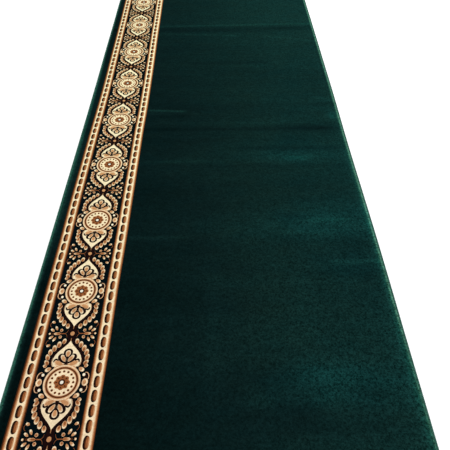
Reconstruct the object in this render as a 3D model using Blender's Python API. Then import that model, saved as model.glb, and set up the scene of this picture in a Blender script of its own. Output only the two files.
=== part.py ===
"""A mosque carpet: a long cut-pile runner with overcast edges, lying flat.

Metres, +Z up. The origin is the middle of the underside, at the centre of the carpet's
outline. +Y runs along the length, and the edge with the ornamental border is at -X.

The carpet is one woven cloth: a ground weave, a bare selvedge of ground weave all round it,
and the pile block that stands on the ground. Four runs of overcast yarn are sewn over the
selvedge: two along the whole length, and one across each end between them.
"""

import math
from typing import NamedTuple

import bmesh
import bpy

# Driving sizes.
LENGTH = 3.200  # ten repeats of the border
WIDTH = 1.208  # over the widest places of both edges
THICKNESS = 0.012  # underside to the tips of the pile
GAP = 0.0003  # between the cloth and the yarn sewn over it

# Ground weave and pile.
SELVEDGE_LOW = 0.0016  # underside of the bare selvedge
SELVEDGE_HIGH = 0.0032  # its upper face, where the pile is rooted
SELVEDGE_INSET = 0.0020  # how far the selvedge stays inside the overcasting
PILE_SHOULDER = 0.0095  # height at which the outermost tufts begin to round over
PILE_ROUND = 0.0030  # how far in the top is flat
CLOTH_CORNER = 0.0005
PILE_CORNER = 0.0060
CORNER_POINTS = 5

# Overcast yarn.
SERGING_WIDTH = 0.0100
SERGING_HEIGHT = 0.0060
SERGING_LIP = 0.0013  # thickness under the selvedge
SERGING_WALL = 0.0017  # thickness outside the selvedge

STATIONS = 17  # places along the length where the outline is worked out


class Lie(NamedTuple):
    """How far each long edge lies inside the carpet's outline at one place along it."""

    along: float
    left: float
    right: float


# The runner isn't laid dead straight: both long edges wander by a few millimetres.
LIES = (
    Lie(along=-1.60, left=0.0030, right=0.0050),
    Lie(along=-1.20, left=0.0043, right=0.0028),
    Lie(along=-0.60, left=0.0064, right=0.0000),
    Lie(along=0.00, left=0.0071, right=0.0026),
    Lie(along=0.40, left=0.0065, right=0.0008),
    Lie(along=1.00, left=0.0032, right=0.0022),
    Lie(along=1.60, left=0.0000, right=0.0040),
)

PILE_GREEN = (0.0070, 0.0240, 0.0220, 1.0)
SERGING_GREEN = (0.0290, 0.0830, 0.0670, 1.0)


def edge_inset(y: float, column: str) -> float:
    """The inset of one long edge at y, eased smoothly between the rows of LIES."""
    y = min(max(y, LIES[0].along), LIES[-1].along)
    for near, far in zip(LIES, LIES[1:]):
        if y <= far.along:
            break
    share = (y - near.along) / (far.along - near.along)
    ease = share * share * (3.0 - 2.0 * share)
    return getattr(near, column) * (1.0 - ease) + getattr(far, column) * ease


def edge_x(y: float, side: int, inset: float) -> float:
    """The x of the line that lies inset inside the left (-1) or right (+1) edge at y."""
    column = "left" if side < 0 else "right"
    return side * (WIDTH / 2.0 - edge_inset(y, column) - inset)


def spread(low: float, high: float, count: int) -> list[float]:
    """count evenly spaced values from low to high."""
    return [low + (high - low) * i / (count - 1) for i in range(count)]


def corner(side_x: int, side_y: int, inset: float, radius: float) -> list[tuple]:
    """The arc of one corner of an outline, running anticlockwise seen from above."""
    centre_y = side_y * (LENGTH / 2.0 - inset - radius)
    centre_x = edge_x(centre_y, side_x, inset + radius)
    start = {(1, -1): 270.0, (1, 1): 0.0, (-1, 1): 90.0, (-1, -1): 180.0}[side_x, side_y]
    turns = [math.radians(a) for a in spread(start, start + 90.0, CORNER_POINTS)]
    return [(centre_x + radius * math.cos(a), centre_y + radius * math.sin(a)) for a in turns]


def outline(inset: float, radius: float) -> list[tuple]:
    """The closed outline that lies inset inside the carpet's edge, anticlockwise from above."""
    reach = LENGTH / 2.0 - inset - radius
    between = spread(-reach, reach, STATIONS)[1:-1]
    right = [(edge_x(y, 1, inset), y) for y in between]
    left = [(edge_x(y, -1, inset), y) for y in reversed(between)]
    return (
        corner(1, -1, inset, radius)
        + right
        + corner(1, 1, inset, radius)
        + corner(-1, 1, inset, radius)
        + left
        + corner(-1, -1, inset, radius)
    )


def skin(rings: list[list[tuple]]) -> bmesh.types.BMesh:
    """A closed mesh through rings of as many points each, with its first and last ring filled."""
    mesh = bmesh.new()
    rows = [[mesh.verts.new(point) for point in ring] for ring in rings]
    for low, high in zip(rows, rows[1:]):
        for i in range(len(low)):
            j = (i + 1) % len(low)
            mesh.faces.new((low[i], low[j], high[j], high[i]))
    mesh.faces.new(list(reversed(rows[0])))
    mesh.faces.new(rows[-1])
    bmesh.ops.recalc_face_normals(mesh, faces=mesh.faces)
    return mesh


def yarn_material(name: str, colour: tuple, roughness: float) -> bpy.types.Material:
    """A matt yarn finish of one colour."""
    material = bpy.data.materials.new(name)
    material.use_nodes = True
    shader = material.node_tree.nodes["Principled BSDF"]
    shader.inputs["Base Color"].default_value = colour
    shader.inputs["Roughness"].default_value = roughness
    shader.inputs["Metallic"].default_value = 0.0
    material.diffuse_color = colour
    return material


def place(name: str, solid: bmesh.types.BMesh, material: bpy.types.Material) -> None:
    """Puts a finished solid in the scene under its own name."""
    mesh = bpy.data.meshes.new(name)
    solid.to_mesh(mesh)
    solid.free()
    mesh.materials.append(material)
    piece = bpy.data.objects.new(name, mesh)
    bpy.context.collection.objects.link(piece)


def cloth() -> bmesh.types.BMesh:
    """The woven carpet: ground, bare selvedge and the pile block, as one solid."""
    pile_inset = SERGING_WIDTH + GAP
    profile = (  # inset, height and corner radius of each ring, from the underside up
        (pile_inset, 0.0, PILE_CORNER),
        (pile_inset, SELVEDGE_LOW, PILE_CORNER),
        (SELVEDGE_INSET, SELVEDGE_LOW, CLOTH_CORNER),
        (SELVEDGE_INSET, SELVEDGE_HIGH, CLOTH_CORNER),
        (pile_inset, SELVEDGE_HIGH, PILE_CORNER),
        (pile_inset, PILE_SHOULDER, PILE_CORNER),
        (pile_inset + PILE_ROUND * 0.3, THICKNESS - 0.0008, PILE_CORNER),
        (pile_inset + PILE_ROUND, THICKNESS, PILE_CORNER),
    )
    return skin([[(x, y, z) for x, y in outline(inset, radius)] for inset, z, radius in profile])


def serging_section() -> list[tuple]:
    """The overcasting's section as (distance in from the edge, height), a C closed outside."""
    slot_low = SERGING_LIP
    slot_high = SELVEDGE_HIGH + GAP
    return [
        (SERGING_WIDTH, 0.0),
        (0.28 * SERGING_WIDTH, 0.0),
        (0.08 * SERGING_WIDTH, 0.16 * SERGING_HEIGHT),
        (0.0, 0.48 * SERGING_HEIGHT),
        (0.08 * SERGING_WIDTH, 0.80 * SERGING_HEIGHT),
        (0.27 * SERGING_WIDTH, 0.96 * SERGING_HEIGHT),
        (0.52 * SERGING_WIDTH, SERGING_HEIGHT),
        (0.82 * SERGING_WIDTH, 0.90 * SERGING_HEIGHT),
        (SERGING_WIDTH, 0.70 * SERGING_HEIGHT),
        (SERGING_WIDTH, slot_high),
        (SERGING_WALL, slot_high),
        (SERGING_WALL, slot_low),
        (SERGING_WIDTH, slot_low),
    ]


def long_serging(side: int) -> bmesh.types.BMesh:
    """The overcast yarn along the whole left (-1) or right (+1) edge."""
    stations = spread(-LENGTH / 2.0, LENGTH / 2.0, STATIONS)
    section = serging_section()
    return skin([[(edge_x(y, side, inset), y, z) for inset, z in section] for y in stations])


def end_serging(end: int) -> bmesh.types.BMesh:
    """The overcast yarn across the near (-1) or far (+1) end, between the two long runs."""
    corner_rows = (end * LENGTH / 2.0, end * (LENGTH / 2.0 - SERGING_WIDTH))
    clear = SERGING_WIDTH + GAP
    left = max(edge_x(y, -1, clear) for y in corner_rows)
    right = min(edge_x(y, 1, clear) for y in corner_rows)
    section = serging_section()
    stations = spread(left, right, 3)
    return skin([[(x, end * (LENGTH / 2.0 - inset), z) for inset, z in section] for x in stations])


def main() -> None:
    """Clears the scene and builds the carpet and its four runs of overcasting."""
    for old in list(bpy.data.objects):
        bpy.data.objects.remove(old, do_unlink=True)
    pile = yarn_material("pile", PILE_GREEN, 0.95)
    serging = yarn_material("serging", SERGING_GREEN, 0.85)
    place("carpet", cloth(), pile)
    place("serging_left", long_serging(-1), serging)
    place("serging_right", long_serging(1), serging)
    place("serging_near_end", end_serging(-1), serging)
    place("serging_far_end", end_serging(1), serging)


main()
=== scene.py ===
"""The visual model of a mosque carpet: a long cut-pile runner with an ornamental border.

Metres, +Z up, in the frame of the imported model: the origin is the middle of the underside,
+Y runs along the length, and the border lies along the edge at -X. The pile is a dark green
field, with the border woven into it yarn by yarn. Both long edges and both ends are overcast.
"""

import logging
import math
from dataclasses import dataclass
from enum import Enum
from typing import Callable, NamedTuple, Sequence

import bmesh
import bpy
import numpy as np
from bmesh.types import BMesh
from bpy.types import Material, Mesh, Node, NodeSocket, NodeTree, Object
from mathutils import Matrix, Vector
from mathutils.geometry import delaunay_2d_cdt


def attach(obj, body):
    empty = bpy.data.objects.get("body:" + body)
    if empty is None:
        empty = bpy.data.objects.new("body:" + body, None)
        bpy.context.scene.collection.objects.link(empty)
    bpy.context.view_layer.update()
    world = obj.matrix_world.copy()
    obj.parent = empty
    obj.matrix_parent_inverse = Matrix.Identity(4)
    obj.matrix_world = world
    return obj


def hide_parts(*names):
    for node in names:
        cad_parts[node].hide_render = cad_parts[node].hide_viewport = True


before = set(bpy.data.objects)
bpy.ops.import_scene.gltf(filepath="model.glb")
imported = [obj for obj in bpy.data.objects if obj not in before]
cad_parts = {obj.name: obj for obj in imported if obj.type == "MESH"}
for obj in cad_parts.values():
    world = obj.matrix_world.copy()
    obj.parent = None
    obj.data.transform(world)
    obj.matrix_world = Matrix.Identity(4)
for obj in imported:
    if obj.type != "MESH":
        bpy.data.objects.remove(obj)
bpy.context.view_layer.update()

LOG = logging.getLogger("mosque_carpet")
MM = 0.001
BODY = "root"

Point = tuple[float, float]
Triple = tuple[float, float, float]
Colour = Triple  # red, green and blue as the eye names them, from 0 to 255
Array = np.ndarray
Socket = NodeSocket
Feed = object  # what a socket takes: a number, a vector, or another socket


# ------ small helpers


def linear(colour: Colour, gain: float = 1.0) -> Triple:
    """Turns a colour as the eye names it into the light that a yarn gives back.

    Args:
        colour: red, green and blue, from 0 to 255.
        gain: a factor on the result.

    Returns:
        Linear red, green and blue.
    """
    values = [channel / 255.0 for channel in colour]
    return tuple(gain * (v / 12.92 if v <= 0.04045 else ((v + 0.055) / 1.055) ** 2.4) for v in values)


def smoothstep(low: float, high: float, value: Array) -> Array:
    """Rises smoothly from 0 at low to 1 at high."""
    share = np.clip((value - low) / (high - low), 0.0, 1.0)
    return share * share * (3.0 - 2.0 * share)


def bell(value: Array, middle: float, width: float) -> Array:
    """Is 1 at the middle and falls away to both sides over the width."""
    return np.exp(-(((value - middle) / width) ** 2))


def read_rows(rows: Sequence[NamedTuple], column: str, y: Array) -> Array:
    """One column of a table whose rows stand along the length, read in between its rows."""
    return np.interp(y, [row.along for row in rows], [getattr(row, column) for row in rows])


def three_sides(triangles: Array) -> Array:
    """The sides of triangles, each as its two points in order: all first sides, then the others."""
    return np.vstack([triangles[:, [0, 1]], triangles[:, [1, 2]], triangles[:, [2, 0]]])


def mesh_object(name: str, mesh: Mesh) -> Object:
    """Puts a mesh in the scene as an object of its own, at the origin."""
    piece = bpy.data.objects.new(name, mesh)
    bpy.context.scene.collection.objects.link(piece)
    return piece


def plain_mesh(name: str, solid: BMesh) -> Mesh:
    """Turns a finished solid into a mesh, and lets the solid go.

    Args:
        name: the name of the mesh.
        solid: the solid.

    Returns:
        The mesh.
    """
    mesh = bpy.data.meshes.new(name)
    solid.to_mesh(mesh)
    solid.free()
    return mesh


def skinned(name: str, rings: Sequence[Sequence[Triple]]) -> Mesh:
    """A closed mesh through rings of as many points each, with both ends filled.

    Args:
        name: the name of the mesh.
        rings: the rings, in order, each with its points in the same turn.

    Returns:
        The mesh, with its faces pointing outwards.
    """
    solid = bmesh.new()
    rows = [[solid.verts.new(point) for point in ring] for ring in rings]
    for near, far in zip(rows, rows[1:]):
        for i, corner in enumerate(near):
            j = (i + 1) % len(near)
            solid.faces.new((corner, near[j], far[j], far[i]))
    solid.faces.new(rows[0][::-1])
    solid.faces.new(rows[-1])
    bmesh.ops.recalc_face_normals(solid, faces=solid.faces)
    return plain_mesh(name, solid)


def shade(mesh: Mesh, angle: float = 0.9) -> None:
    """Shades a mesh smooth, with edges sharper than angle (in radians) kept sharp."""
    mesh.shade_smooth()
    mesh.set_sharp_from_angle(angle=angle)


def finished(
    mesh: Mesh, name: str, replaced: Sequence[str] = ()
) -> Object:
    """Makes a piece of a finished mesh and hands it to the frame.

    Args:
        mesh: the mesh, already dressed.
        name: the name of the piece.
        replaced: the CAD nodes that it stands for.

    Returns:
        The piece.
    """
    piece = mesh_object(name, mesh)
    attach(piece, BODY)
    if replaced:
        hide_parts(*replaced)
    LOG.info("%s: %d faces", name, len(mesh.polygons))
    return piece


class SoftNoise:
    """Smooth random values over the carpet's plane, from -1 to 1, the same on each run."""

    REACH: Point = (1.0, 2.0)  # how far from the middle it is drawn, across and along

    def __init__(self, seed: int, across: float, along: float) -> None:
        """Draws the values.

        Args:
            seed: the seed of the draw.
            across: the size of a cell along X, in metres.
            along: the size of a cell along Y, in metres.
        """
        self.cell = (across, along)
        shape = [int(2 * reach / cell) + 3 for reach, cell in zip(self.REACH, self.cell)]
        self.values = np.random.default_rng(seed).uniform(-1.0, 1.0, shape)

    def __call__(self, x: Array, y: Array) -> Array:
        """Reads the noise.

        Args:
            x, y: places across and along the carpet.

        Returns:
            The value at each place.
        """
        across = (np.asarray(x) + self.REACH[0]) / self.cell[0]
        along = (np.asarray(y) + self.REACH[1]) / self.cell[1]
        i, j = np.floor(across).astype(int), np.floor(along).astype(int)
        s, t = smoothstep(0.0, 1.0, across - i), smoothstep(0.0, 1.0, along - j)
        v = self.values
        near = v[i, j] * (1 - s) + v[i + 1, j] * s
        far = v[i, j + 1] * (1 - s) + v[i + 1, j + 1] * s
        return near * (1 - t) + far * t


# ------ where the cloth lies


@dataclass
class Lie:
    """Where the carpet's two long edges and its ends run, read from the frame's overcasting."""

    left_node: str = "serging_left"
    right_node: str = "serging_right"
    overcast_width: float = 10.3 * MM  # from the outline to the side of the pile

    def __post_init__(self) -> None:
        """Reads both edges."""
        self.rows, self.left_edge = self._edge(self.left_node, min)
        self.right_edge = self._edge(self.right_node, max)[1]
        self.half_length = float(self.rows[-1])
        self.pile_end = self.half_length - self.overcast_width

    def _edge(self, node: str, outermost: Callable) -> tuple[Array, Array]:
        """Reads one long edge from a node.

        Args:
            node: the CAD node that lies along the edge.
            outermost: min for the left edge and max for the right one.

        Returns:
            The stations along the length, and the edge's x at each of them.
        """
        found: dict[float, float] = {}
        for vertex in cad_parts[node].data.vertices:
            along = round(vertex.co.y, 4)
            found[along] = outermost(found.get(along, vertex.co.x), vertex.co.x)
        rows = np.array(sorted(found))
        return rows, np.array([found[row] for row in rows])

    def _follow(self, edge: Array, y: Array) -> Array:
        """Follows one edge smoothly.

        Args:
            edge: the edge's x at each station.
            y: places along the length.

        Returns:
            The edge's x at each place.
        """
        y = np.clip(np.asarray(y, float), self.rows[0], self.rows[-1])
        slopes = np.gradient(edge, self.rows)
        i = np.clip(np.searchsorted(self.rows, y) - 1, 0, len(self.rows) - 2)
        span = self.rows[i + 1] - self.rows[i]
        t = (y - self.rows[i]) / span
        return (
            edge[i] * (1 + 2 * t) * (1 - t) ** 2
            + edge[i + 1] * t * t * (3 - 2 * t)
            + span * slopes[i] * t * (1 - t) ** 2
            - span * slopes[i + 1] * t * t * (1 - t)
        )

    def left(self, y: Array) -> Array:
        """The x of the left edge at each y."""
        return self._follow(self.left_edge, y)

    def right(self, y: Array) -> Array:
        """The x of the right edge at each y."""
        return self._follow(self.right_edge, y)

    def pile_left(self, y: Array) -> Array:
        """The x of the pile's left side at each y."""
        return self.left(y) + self.overcast_width

    def pile_right(self, y: Array) -> Array:
        """The x of the pile's right side at each y."""
        return self.right(y) - self.overcast_width

    def from_middle(self, x: Array, y: Array) -> tuple[Array, Array]:
        """How far each point lies from the pile's middle line, and half the pile's width there."""
        middle = (self.left(y) + self.right(y)) / 2
        return x - middle, (self.right(y) - self.left(y)) / 2 - self.overcast_width


class Drift(NamedTuple):
    """How far the border's two guard stripes run off their straight line, in millimetres."""

    along: float
    outer: float
    inner: float
    onward: float


@dataclass
class BorderLine:
    """Lays the border along the left edge, with the small drift of a real weave."""

    lie: Lie
    outer: float = 61.4 * MM  # middle of the outer guard, from the left edge
    inner: float = 262.6 * MM
    drifts: tuple[Drift, ...] = (
        Drift(-1.46, 1.0, 0.5, 0.0),
        Drift(-1.20, 1.0, 0.5, 0.0),
        Drift(-1.04, 2.0, 1.5, -1.5),
        Drift(-0.80, 0.5, -1.5, -2.5),
        Drift(-0.56, 0.0, 0.0, -2.0),
        Drift(-0.40, -2.0, -0.5, 3.5),
        Drift(-0.08, -1.5, -1.0, 3.0),
        Drift(0.08, -1.0, -1.5, 3.0),
        Drift(0.24, 1.0, 1.0, 1.0),
        Drift(0.40, 2.0, 1.5, -4.0),
        Drift(0.72, 1.0, 1.5, -2.0),
        Drift(1.04, 0.0, -0.5, 0.5),
        Drift(1.20, -1.0, -0.5, 1.5),
        Drift(1.46, -2.5, -1.0, 0.0),
    )

    def x(self, u: Array, y: Array) -> Array:
        """Where a point of the border comes to lie across the carpet.

        Args:
            u: how far from the left edge it is drawn.
            y: its place along the length.

        Returns:
            Its x, with the drift of the guards and of what lies between them.
        """
        share = np.clip((u - self.outer) / (self.inner - self.outer), 0.0, 1.0)
        outer = read_rows(self.drifts, "outer", y) * (1 - share)
        return self.lie.left(y) + u + MM * (outer + read_rows(self.drifts, "inner", y) * share)

    def y(self, y: Array) -> Array:
        """The place along the length of a point of the border that is drawn at y."""
        return y + MM * read_rows(self.drifts, "onward", y)


# ------ the surface of the pile


class Step(NamedTuple):
    """A smooth change from one place along the length to another, and what it amounts to."""

    start: float
    stop: float
    lift: float = 1.0

    def at(self, y: Array) -> Array:
        """The change at each place."""
        return self.lift * smoothstep(self.start, self.stop, y)


class Hump(NamedTuple):
    """A rise or a hollow round a middle, its width to either side, and its lift."""

    middle: float
    width: float
    lift: float

    def at(self, value: Array) -> Array:
        """Its height at each place."""
        return self.lift * bell(value, self.middle, self.width)


class SheenPatch(NamedTuple):
    """Painted sheen: a patch of pile that leans another way, painted lighter or darker into its colour
    for the light it throws back.
    """

    x: float
    y: float
    across: float
    along: float
    lift: float
    cool: float = 0.0  # how much bluer it looks

    def share(self, x: Array, y: Array) -> Array:
        """How much of its lift each point gets, from 0 to 1."""
        return np.exp(-(((x - self.x) / self.across) ** 2) - ((y - self.y) / self.along) ** 2)


class Crease(NamedTuple):
    """A faint ridge or hollow that folding left across the pile; its lift raises the pile, and also
    paints a light line on a ridge and a dark line in a hollow into the pile's colour.
    """

    y: float
    slope: float
    start: float
    stop: float
    width: float
    lift: float

    def share(self, x: Array, y: Array, ending: float = 30.0 * MM) -> Array:
        """How much of its lift each point gets.

        Args:
            x, y: places across and along the carpet.
            ending: how far it takes to fade in or out at either end.

        Returns:
            A share from 0 to 1 for each place.
        """
        fade = smoothstep(self.start - ending, self.start + ending, x)
        fade = fade * (1 - smoothstep(self.stop - ending, self.stop + ending, x))
        return bell(y - self.slope * x, self.y, self.width) * fade


CREASES: tuple[Crease, ...] = tuple(
    Crease(*row)
    for row in (
        (1.109, 0.04, -0.6, 0.6, 0.01, 0.18), (1.062, 0.022, -0.6, 0.6, 0.026, -0.13),
        (1.034, 0.0, -0.24, 0.32, 0.014, -0.05), (0.99, -0.06, -0.6, 0.14, 0.009, 0.12),
        (0.98, 0.0, 0.05, 0.15, 0.008, 0.09), (1.038, -0.205, 0.3, 0.6, 0.01, 0.14),
        (0.872, 0.0, -0.33, -0.17, 0.01, 0.08), (0.67, 0.03, -0.12, 0.3, 0.016, -0.1),
        (0.636, 0.03, 0.06, 0.28, 0.013, 0.06), (0.217, -0.06, -0.33, -0.135, 0.007, 0.4),
        (0.185, 0.0, -0.33, -0.12, 0.018, -0.1), (0.084, 0.004, -0.6, 0.6, 0.013, -0.11),
        (0.131, 0.0, -0.3, 0.5, 0.014, 0.07), (0.332, 0.0, 0.49, 0.6, 0.014, 0.11),
        (0.28, 0.0, 0.47, 0.6, 0.016, -0.07), (-0.054, 0.0, 0.12, 0.6, 0.016, -0.12),
        (-0.138, 0.03, -0.31, -0.04, 0.011, 0.13), (-0.174, 0.0, -0.2, 0.55, 0.012, -0.05),
        (-0.395, 0.0, 0.32, 0.46, 0.012, 0.08), (-0.488, 0.0, 0.34, 0.52, 0.012, 0.11),
        (-0.533, -0.05, 0.25, 0.45, 0.012, 0.12), (-0.571, 0.0, -0.32, -0.1, 0.01, 0.14),
        (-0.7, 0.02, 0.42, 0.6, 0.01, 0.19),
    )  # fmt: skip
)
# painted sheen patches: pile painted lighter or darker, and some bluer, standing in for light on leaning
# pile
SHEEN_PATCHES: tuple[SheenPatch, ...] = tuple(
    SheenPatch(*row)
    for row in (
        (0.33, -0.09, 0.24, 0.055, 0.13, 0.35), (0.46, -0.49, 0.2, 0.075, 0.18, 0.8),
        (0.2, -0.54, 0.22, 0.06, 0.07, 0.25), (0.36, -1.13, 0.2, 0.07, 0.17, 0.6),
        (0.46, -0.7, 0.12, 0.06, 0.0, 0.45), (0.44, 0.1, 0.14, 0.045, -0.15),
        (0.5, 0.07, 0.09, 0.05, -0.06), (0.36, 0.0, 0.1, 0.035, -0.07, 0.3),
        (0.3, 0.5, 0.35, 0.12, -0.05), (0.1, -0.8, 0.6, 0.1, -0.03),
        (-0.1, -0.33, 0.5, 0.07, -0.04), (0.35, 1.22, 0.4, 0.16, 0.03),
        (0.42, 1.09, 0.14, 0.045, -0.1), (-0.28, 0.2, 0.08, 0.045, 0.09),
        (-0.12, -0.14, 0.2, 0.07, 0.06), (-0.12, -0.52, 0.25, 0.055, 0.06),
        (0.5, -0.62, 0.08, 0.045, -0.09), (0.28, -0.58, 0.09, 0.055, -0.08),
        (0.25, -0.98, 0.14, 0.055, 0.08), (0.15, 0.24, 0.35, 0.06, -0.05),
        (0.05, -0.77, 0.22, 0.05, 0.05), (0.3, -1.25, 0.25, 0.05, -0.06),
        (0.24, -1.21, 0.08, 0.045, -0.1), (0.38, -0.3, 0.12, 0.05, -0.07),
        (-0.28, -1.12, 0.09, 0.06, -0.06), (0.355, -0.124, 0.075, 0.018, 0.2, 0.3),
        (0.36, -0.064, 0.12, 0.026, -0.09), (0.4, -0.392, 0.055, 0.013, -0.13),
        (0.0, -1.0, 0.034, 0.2, 0.05), (-0.14, -1.0, 0.02, 0.16, 0.03),
        (0.29, -0.84, 0.022, 0.11, 0.04), (0.3, -0.465, 0.05, 0.022, -0.13),
        (0.54, -0.76, 0.04, 0.06, -0.1), (0.09, -0.72, 0.09, 0.035, -0.08),
        (0.33, -1.105, 0.09, 0.025, 0.1, 0.3), (0.32, -1.175, 0.05, 0.02, 0.1),
        (0.14, -1.185, 0.045, 0.02, 0.08), (0.45, -1.15, 0.05, 0.04, -0.08),
        (0.15, -1.11, 0.11, 0.035, -0.08), (0.56, 0.185, 0.02, 0.035, 0.24, 0.5),
    )  # fmt: skip
)


@dataclass
class PileTop:
    """The top of the pile: its height, its gentle unevenness and its rounded sides."""

    lie: Lie
    height: float = 12.0 * MM
    shoulder: float = 9.5 * MM
    rounding: float = 3.0 * MM
    root: float = 3.25 * MM
    swell: float = 0.25 * MM
    streaks: float = 0.4  # the share of the swell that runs across the carpet in streaks
    crease_height: float = 1.6 * MM  # for a lift of 1
    corner: float = 6.0 * MM
    flare: float = 1.5 * MM  # how far the outermost tufts splay over the long edges
    insets: tuple[float, ...] = (0.0, 0.35 * MM, 0.9 * MM, 1.8 * MM, 3.0 * MM)

    def __post_init__(self) -> None:
        """Draws the noises once."""
        self.broad = SoftNoise(11, 0.30, 0.24)
        self.streak = SoftNoise(12, 0.26, 0.035)

    def inset(self, x: Array, y: Array) -> Array:
        """How far inside the side of the pile each point lies."""
        sides = np.minimum(x - self.lie.pile_left(y), self.lie.pile_right(y) - x)
        return np.minimum(sides, self.lie.pile_end - np.abs(y))

    def z(self, x: Array, y: Array) -> Array:
        """The height of the tips of the pile.

        Args:
            x, y: places across and along the carpet.

        Returns:
            The height above the floor at each place.
        """
        share = np.clip(self.inset(x, y) / self.rounding, 0.0, 1.0)
        roll = np.sqrt(np.maximum(1.0 - (1.0 - share) ** 2, 0.0))
        uneven = self.swell * (self.broad(x, y) + self.streaks * self.streak(x, y))
        for crease in CREASES:
            uneven = uneven + self.crease_height * crease.lift * crease.share(x, y)
        return self.shoulder + (self.height - self.shoulder) * roll + uneven * share

    def splay(self, x: Array, y: Array) -> Array:
        """How far the tufts at the long sides lean out over the overcasting."""
        off, half = self.lie.from_middle(x, y)
        return np.sign(off) * self.flare * np.clip(1 - (half - np.abs(off)) / self.rounding, 0.0, 1.0)


class SideRow(NamedTuple):
    """Painted highlight beside a long edge at one place along the length; the widths are millimetres."""

    along: float
    rim: float  # how light the painted highlight on the outermost tufts is
    rim_width: float
    shoulder: float = 0.0  # how light the painted highlight on the pile beside the rim is
    reach: float = 1.0  # how far in the shoulder goes


@dataclass(frozen=True)
class LeftEdgeSheen:
    """Painted light beside the left edge: a painted highlight on the rim and a shoulder, and painted
    lighter or darker pile in the band up to the border.
    """

    rows: tuple[SideRow, ...] = (
        SideRow(-1.06, 0.98, 4.2, 0.16, 16.0),
        SideRow(-0.79, 0.72, 2.8, 0.32, 11.5),
        SideRow(-0.42, 0.72, 2.8, 0.31, 18.0),
        SideRow(0.10, 0.72, 2.8, 0.66, 13.3),
        SideRow(0.45, 0.72, 2.8, 0.48, 13.0),
        SideRow(0.85, 0.72, 2.8, 0.18, 11.0),
    )
    rim_dimming: Hump = Hump(0.10, 0.25, 0.80)  # where the painted rim highlight is fainter
    full: float = 0.45  # the share of its reach over which the shoulder is at its full height
    band: float = -0.06
    band_humps: tuple[Hump, ...] = (Hump(-0.25, 0.35, 0.12), Hump(-0.79, 0.12, -0.08))
    band_steps: tuple[Step, ...] = (Step(-1.1, -0.9, 0.06), Step(0.4, 0.8, -0.13))
    band_edge: Step = Step(35.0 * MM, 60.0 * MM)

    def lift(self, inset: Array, y: Array) -> Array:
        """How much painted light or shade the side adds to the pile.

        Args:
            inset: how far in from the pile's left side each point lies.
            y: its place along the length.

        Returns:
            The painted light or shade that the side adds at each point.
        """
        rim_width = read_rows(self.rows, "rim_width", y) * MM
        rim = read_rows(self.rows, "rim", y) * bell(inset, 0.0, rim_width)
        reach = read_rows(self.rows, "reach", y) * MM
        inside = 1 - smoothstep(self.full * reach, reach, inset)
        shoulder = read_rows(self.rows, "shoulder", y) * inside
        band = self.band + sum(part.at(y) for part in (*self.band_humps, *self.band_steps))
        return rim * (1 - self.rim_dimming.at(y)) + shoulder + band * (1 - self.band_edge.at(inset))


@dataclass(frozen=True)
class RightEdgeSheen:
    """Painted light beside the right edge, where the side light catches the rolled pile: a painted
    highlight on the rim, a wide painted glow, a painted light shoulder and a painted dark groove.
    """

    rows: tuple[SideRow, ...] = (
        SideRow(-1.10, 0.71, 3.7),
        SideRow(-0.79, 0.71, 6.3),
        SideRow(-0.42, 0.71, 6.5),
        SideRow(0.10, 0.71, 7.8),
        SideRow(0.85, 0.71, 7.0),
    )
    near: Step = Step(-1.05, -0.45)
    far: Step = Step(0.0, 0.6)
    far_rim: float = 0.30  # how much lighter the painted rim highlight is at the far end
    near_rim: float = 0.68  # how light the painted rim highlight still is at the near end
    # the painted rim highlight fades in from the near end
    rim_rise: Step = Step(-1.15, -0.85)
    glow: float = 0.38
    glow_width: float = 18.0 * MM
    far_glow: float = 0.5
    field_glow: float = 0.11  # a fainter, wider painted glow at the near end
    field_width: float = 60.0 * MM
    field_start: float = 15.0 * MM
    # painted shade of a groove, and a painted light shoulder beside the rim
    groove_shade: Hump = Hump(15.0 * MM, 5.0 * MM, 0.10)
    shoulder: Hump = Hump(11.0 * MM, 8.0 * MM, 0.165)
    shoulder_end: Step = Step(-0.3, 0.0)

    def lift(self, inset: Array, y: Array) -> Array:
        """How much painted light or shade the side adds to the pile.

        Args:
            inset: how far in from the pile's right side each point lies.
            y: its place along the length.

        Returns:
            The painted light or shade that the side adds at each point.
        """
        far = self.far.at(y)
        width = read_rows(self.rows, "rim_width", y) * MM
        rim = read_rows(self.rows, "rim", y) * np.exp(-((inset / width) ** 3)) * (1 + self.far_rim * far)
        rim = rim * (self.near_rim + (1 - self.near_rim) * self.rim_rise.at(y))
        glow = self.glow * np.exp(-inset / self.glow_width) * (1 - self.far_glow * far)
        inside = 1 - bell(inset, 0.0, self.field_start)
        wide = self.field_glow * (1 - self.near.at(y)) * inside * np.exp(-inset / self.field_width)
        shoulder = self.shoulder.at(inset) * (1 - self.shoulder_end.at(y))
        return rim + glow + wide + shoulder - far * self.groove_shade.at(inset)


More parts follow.
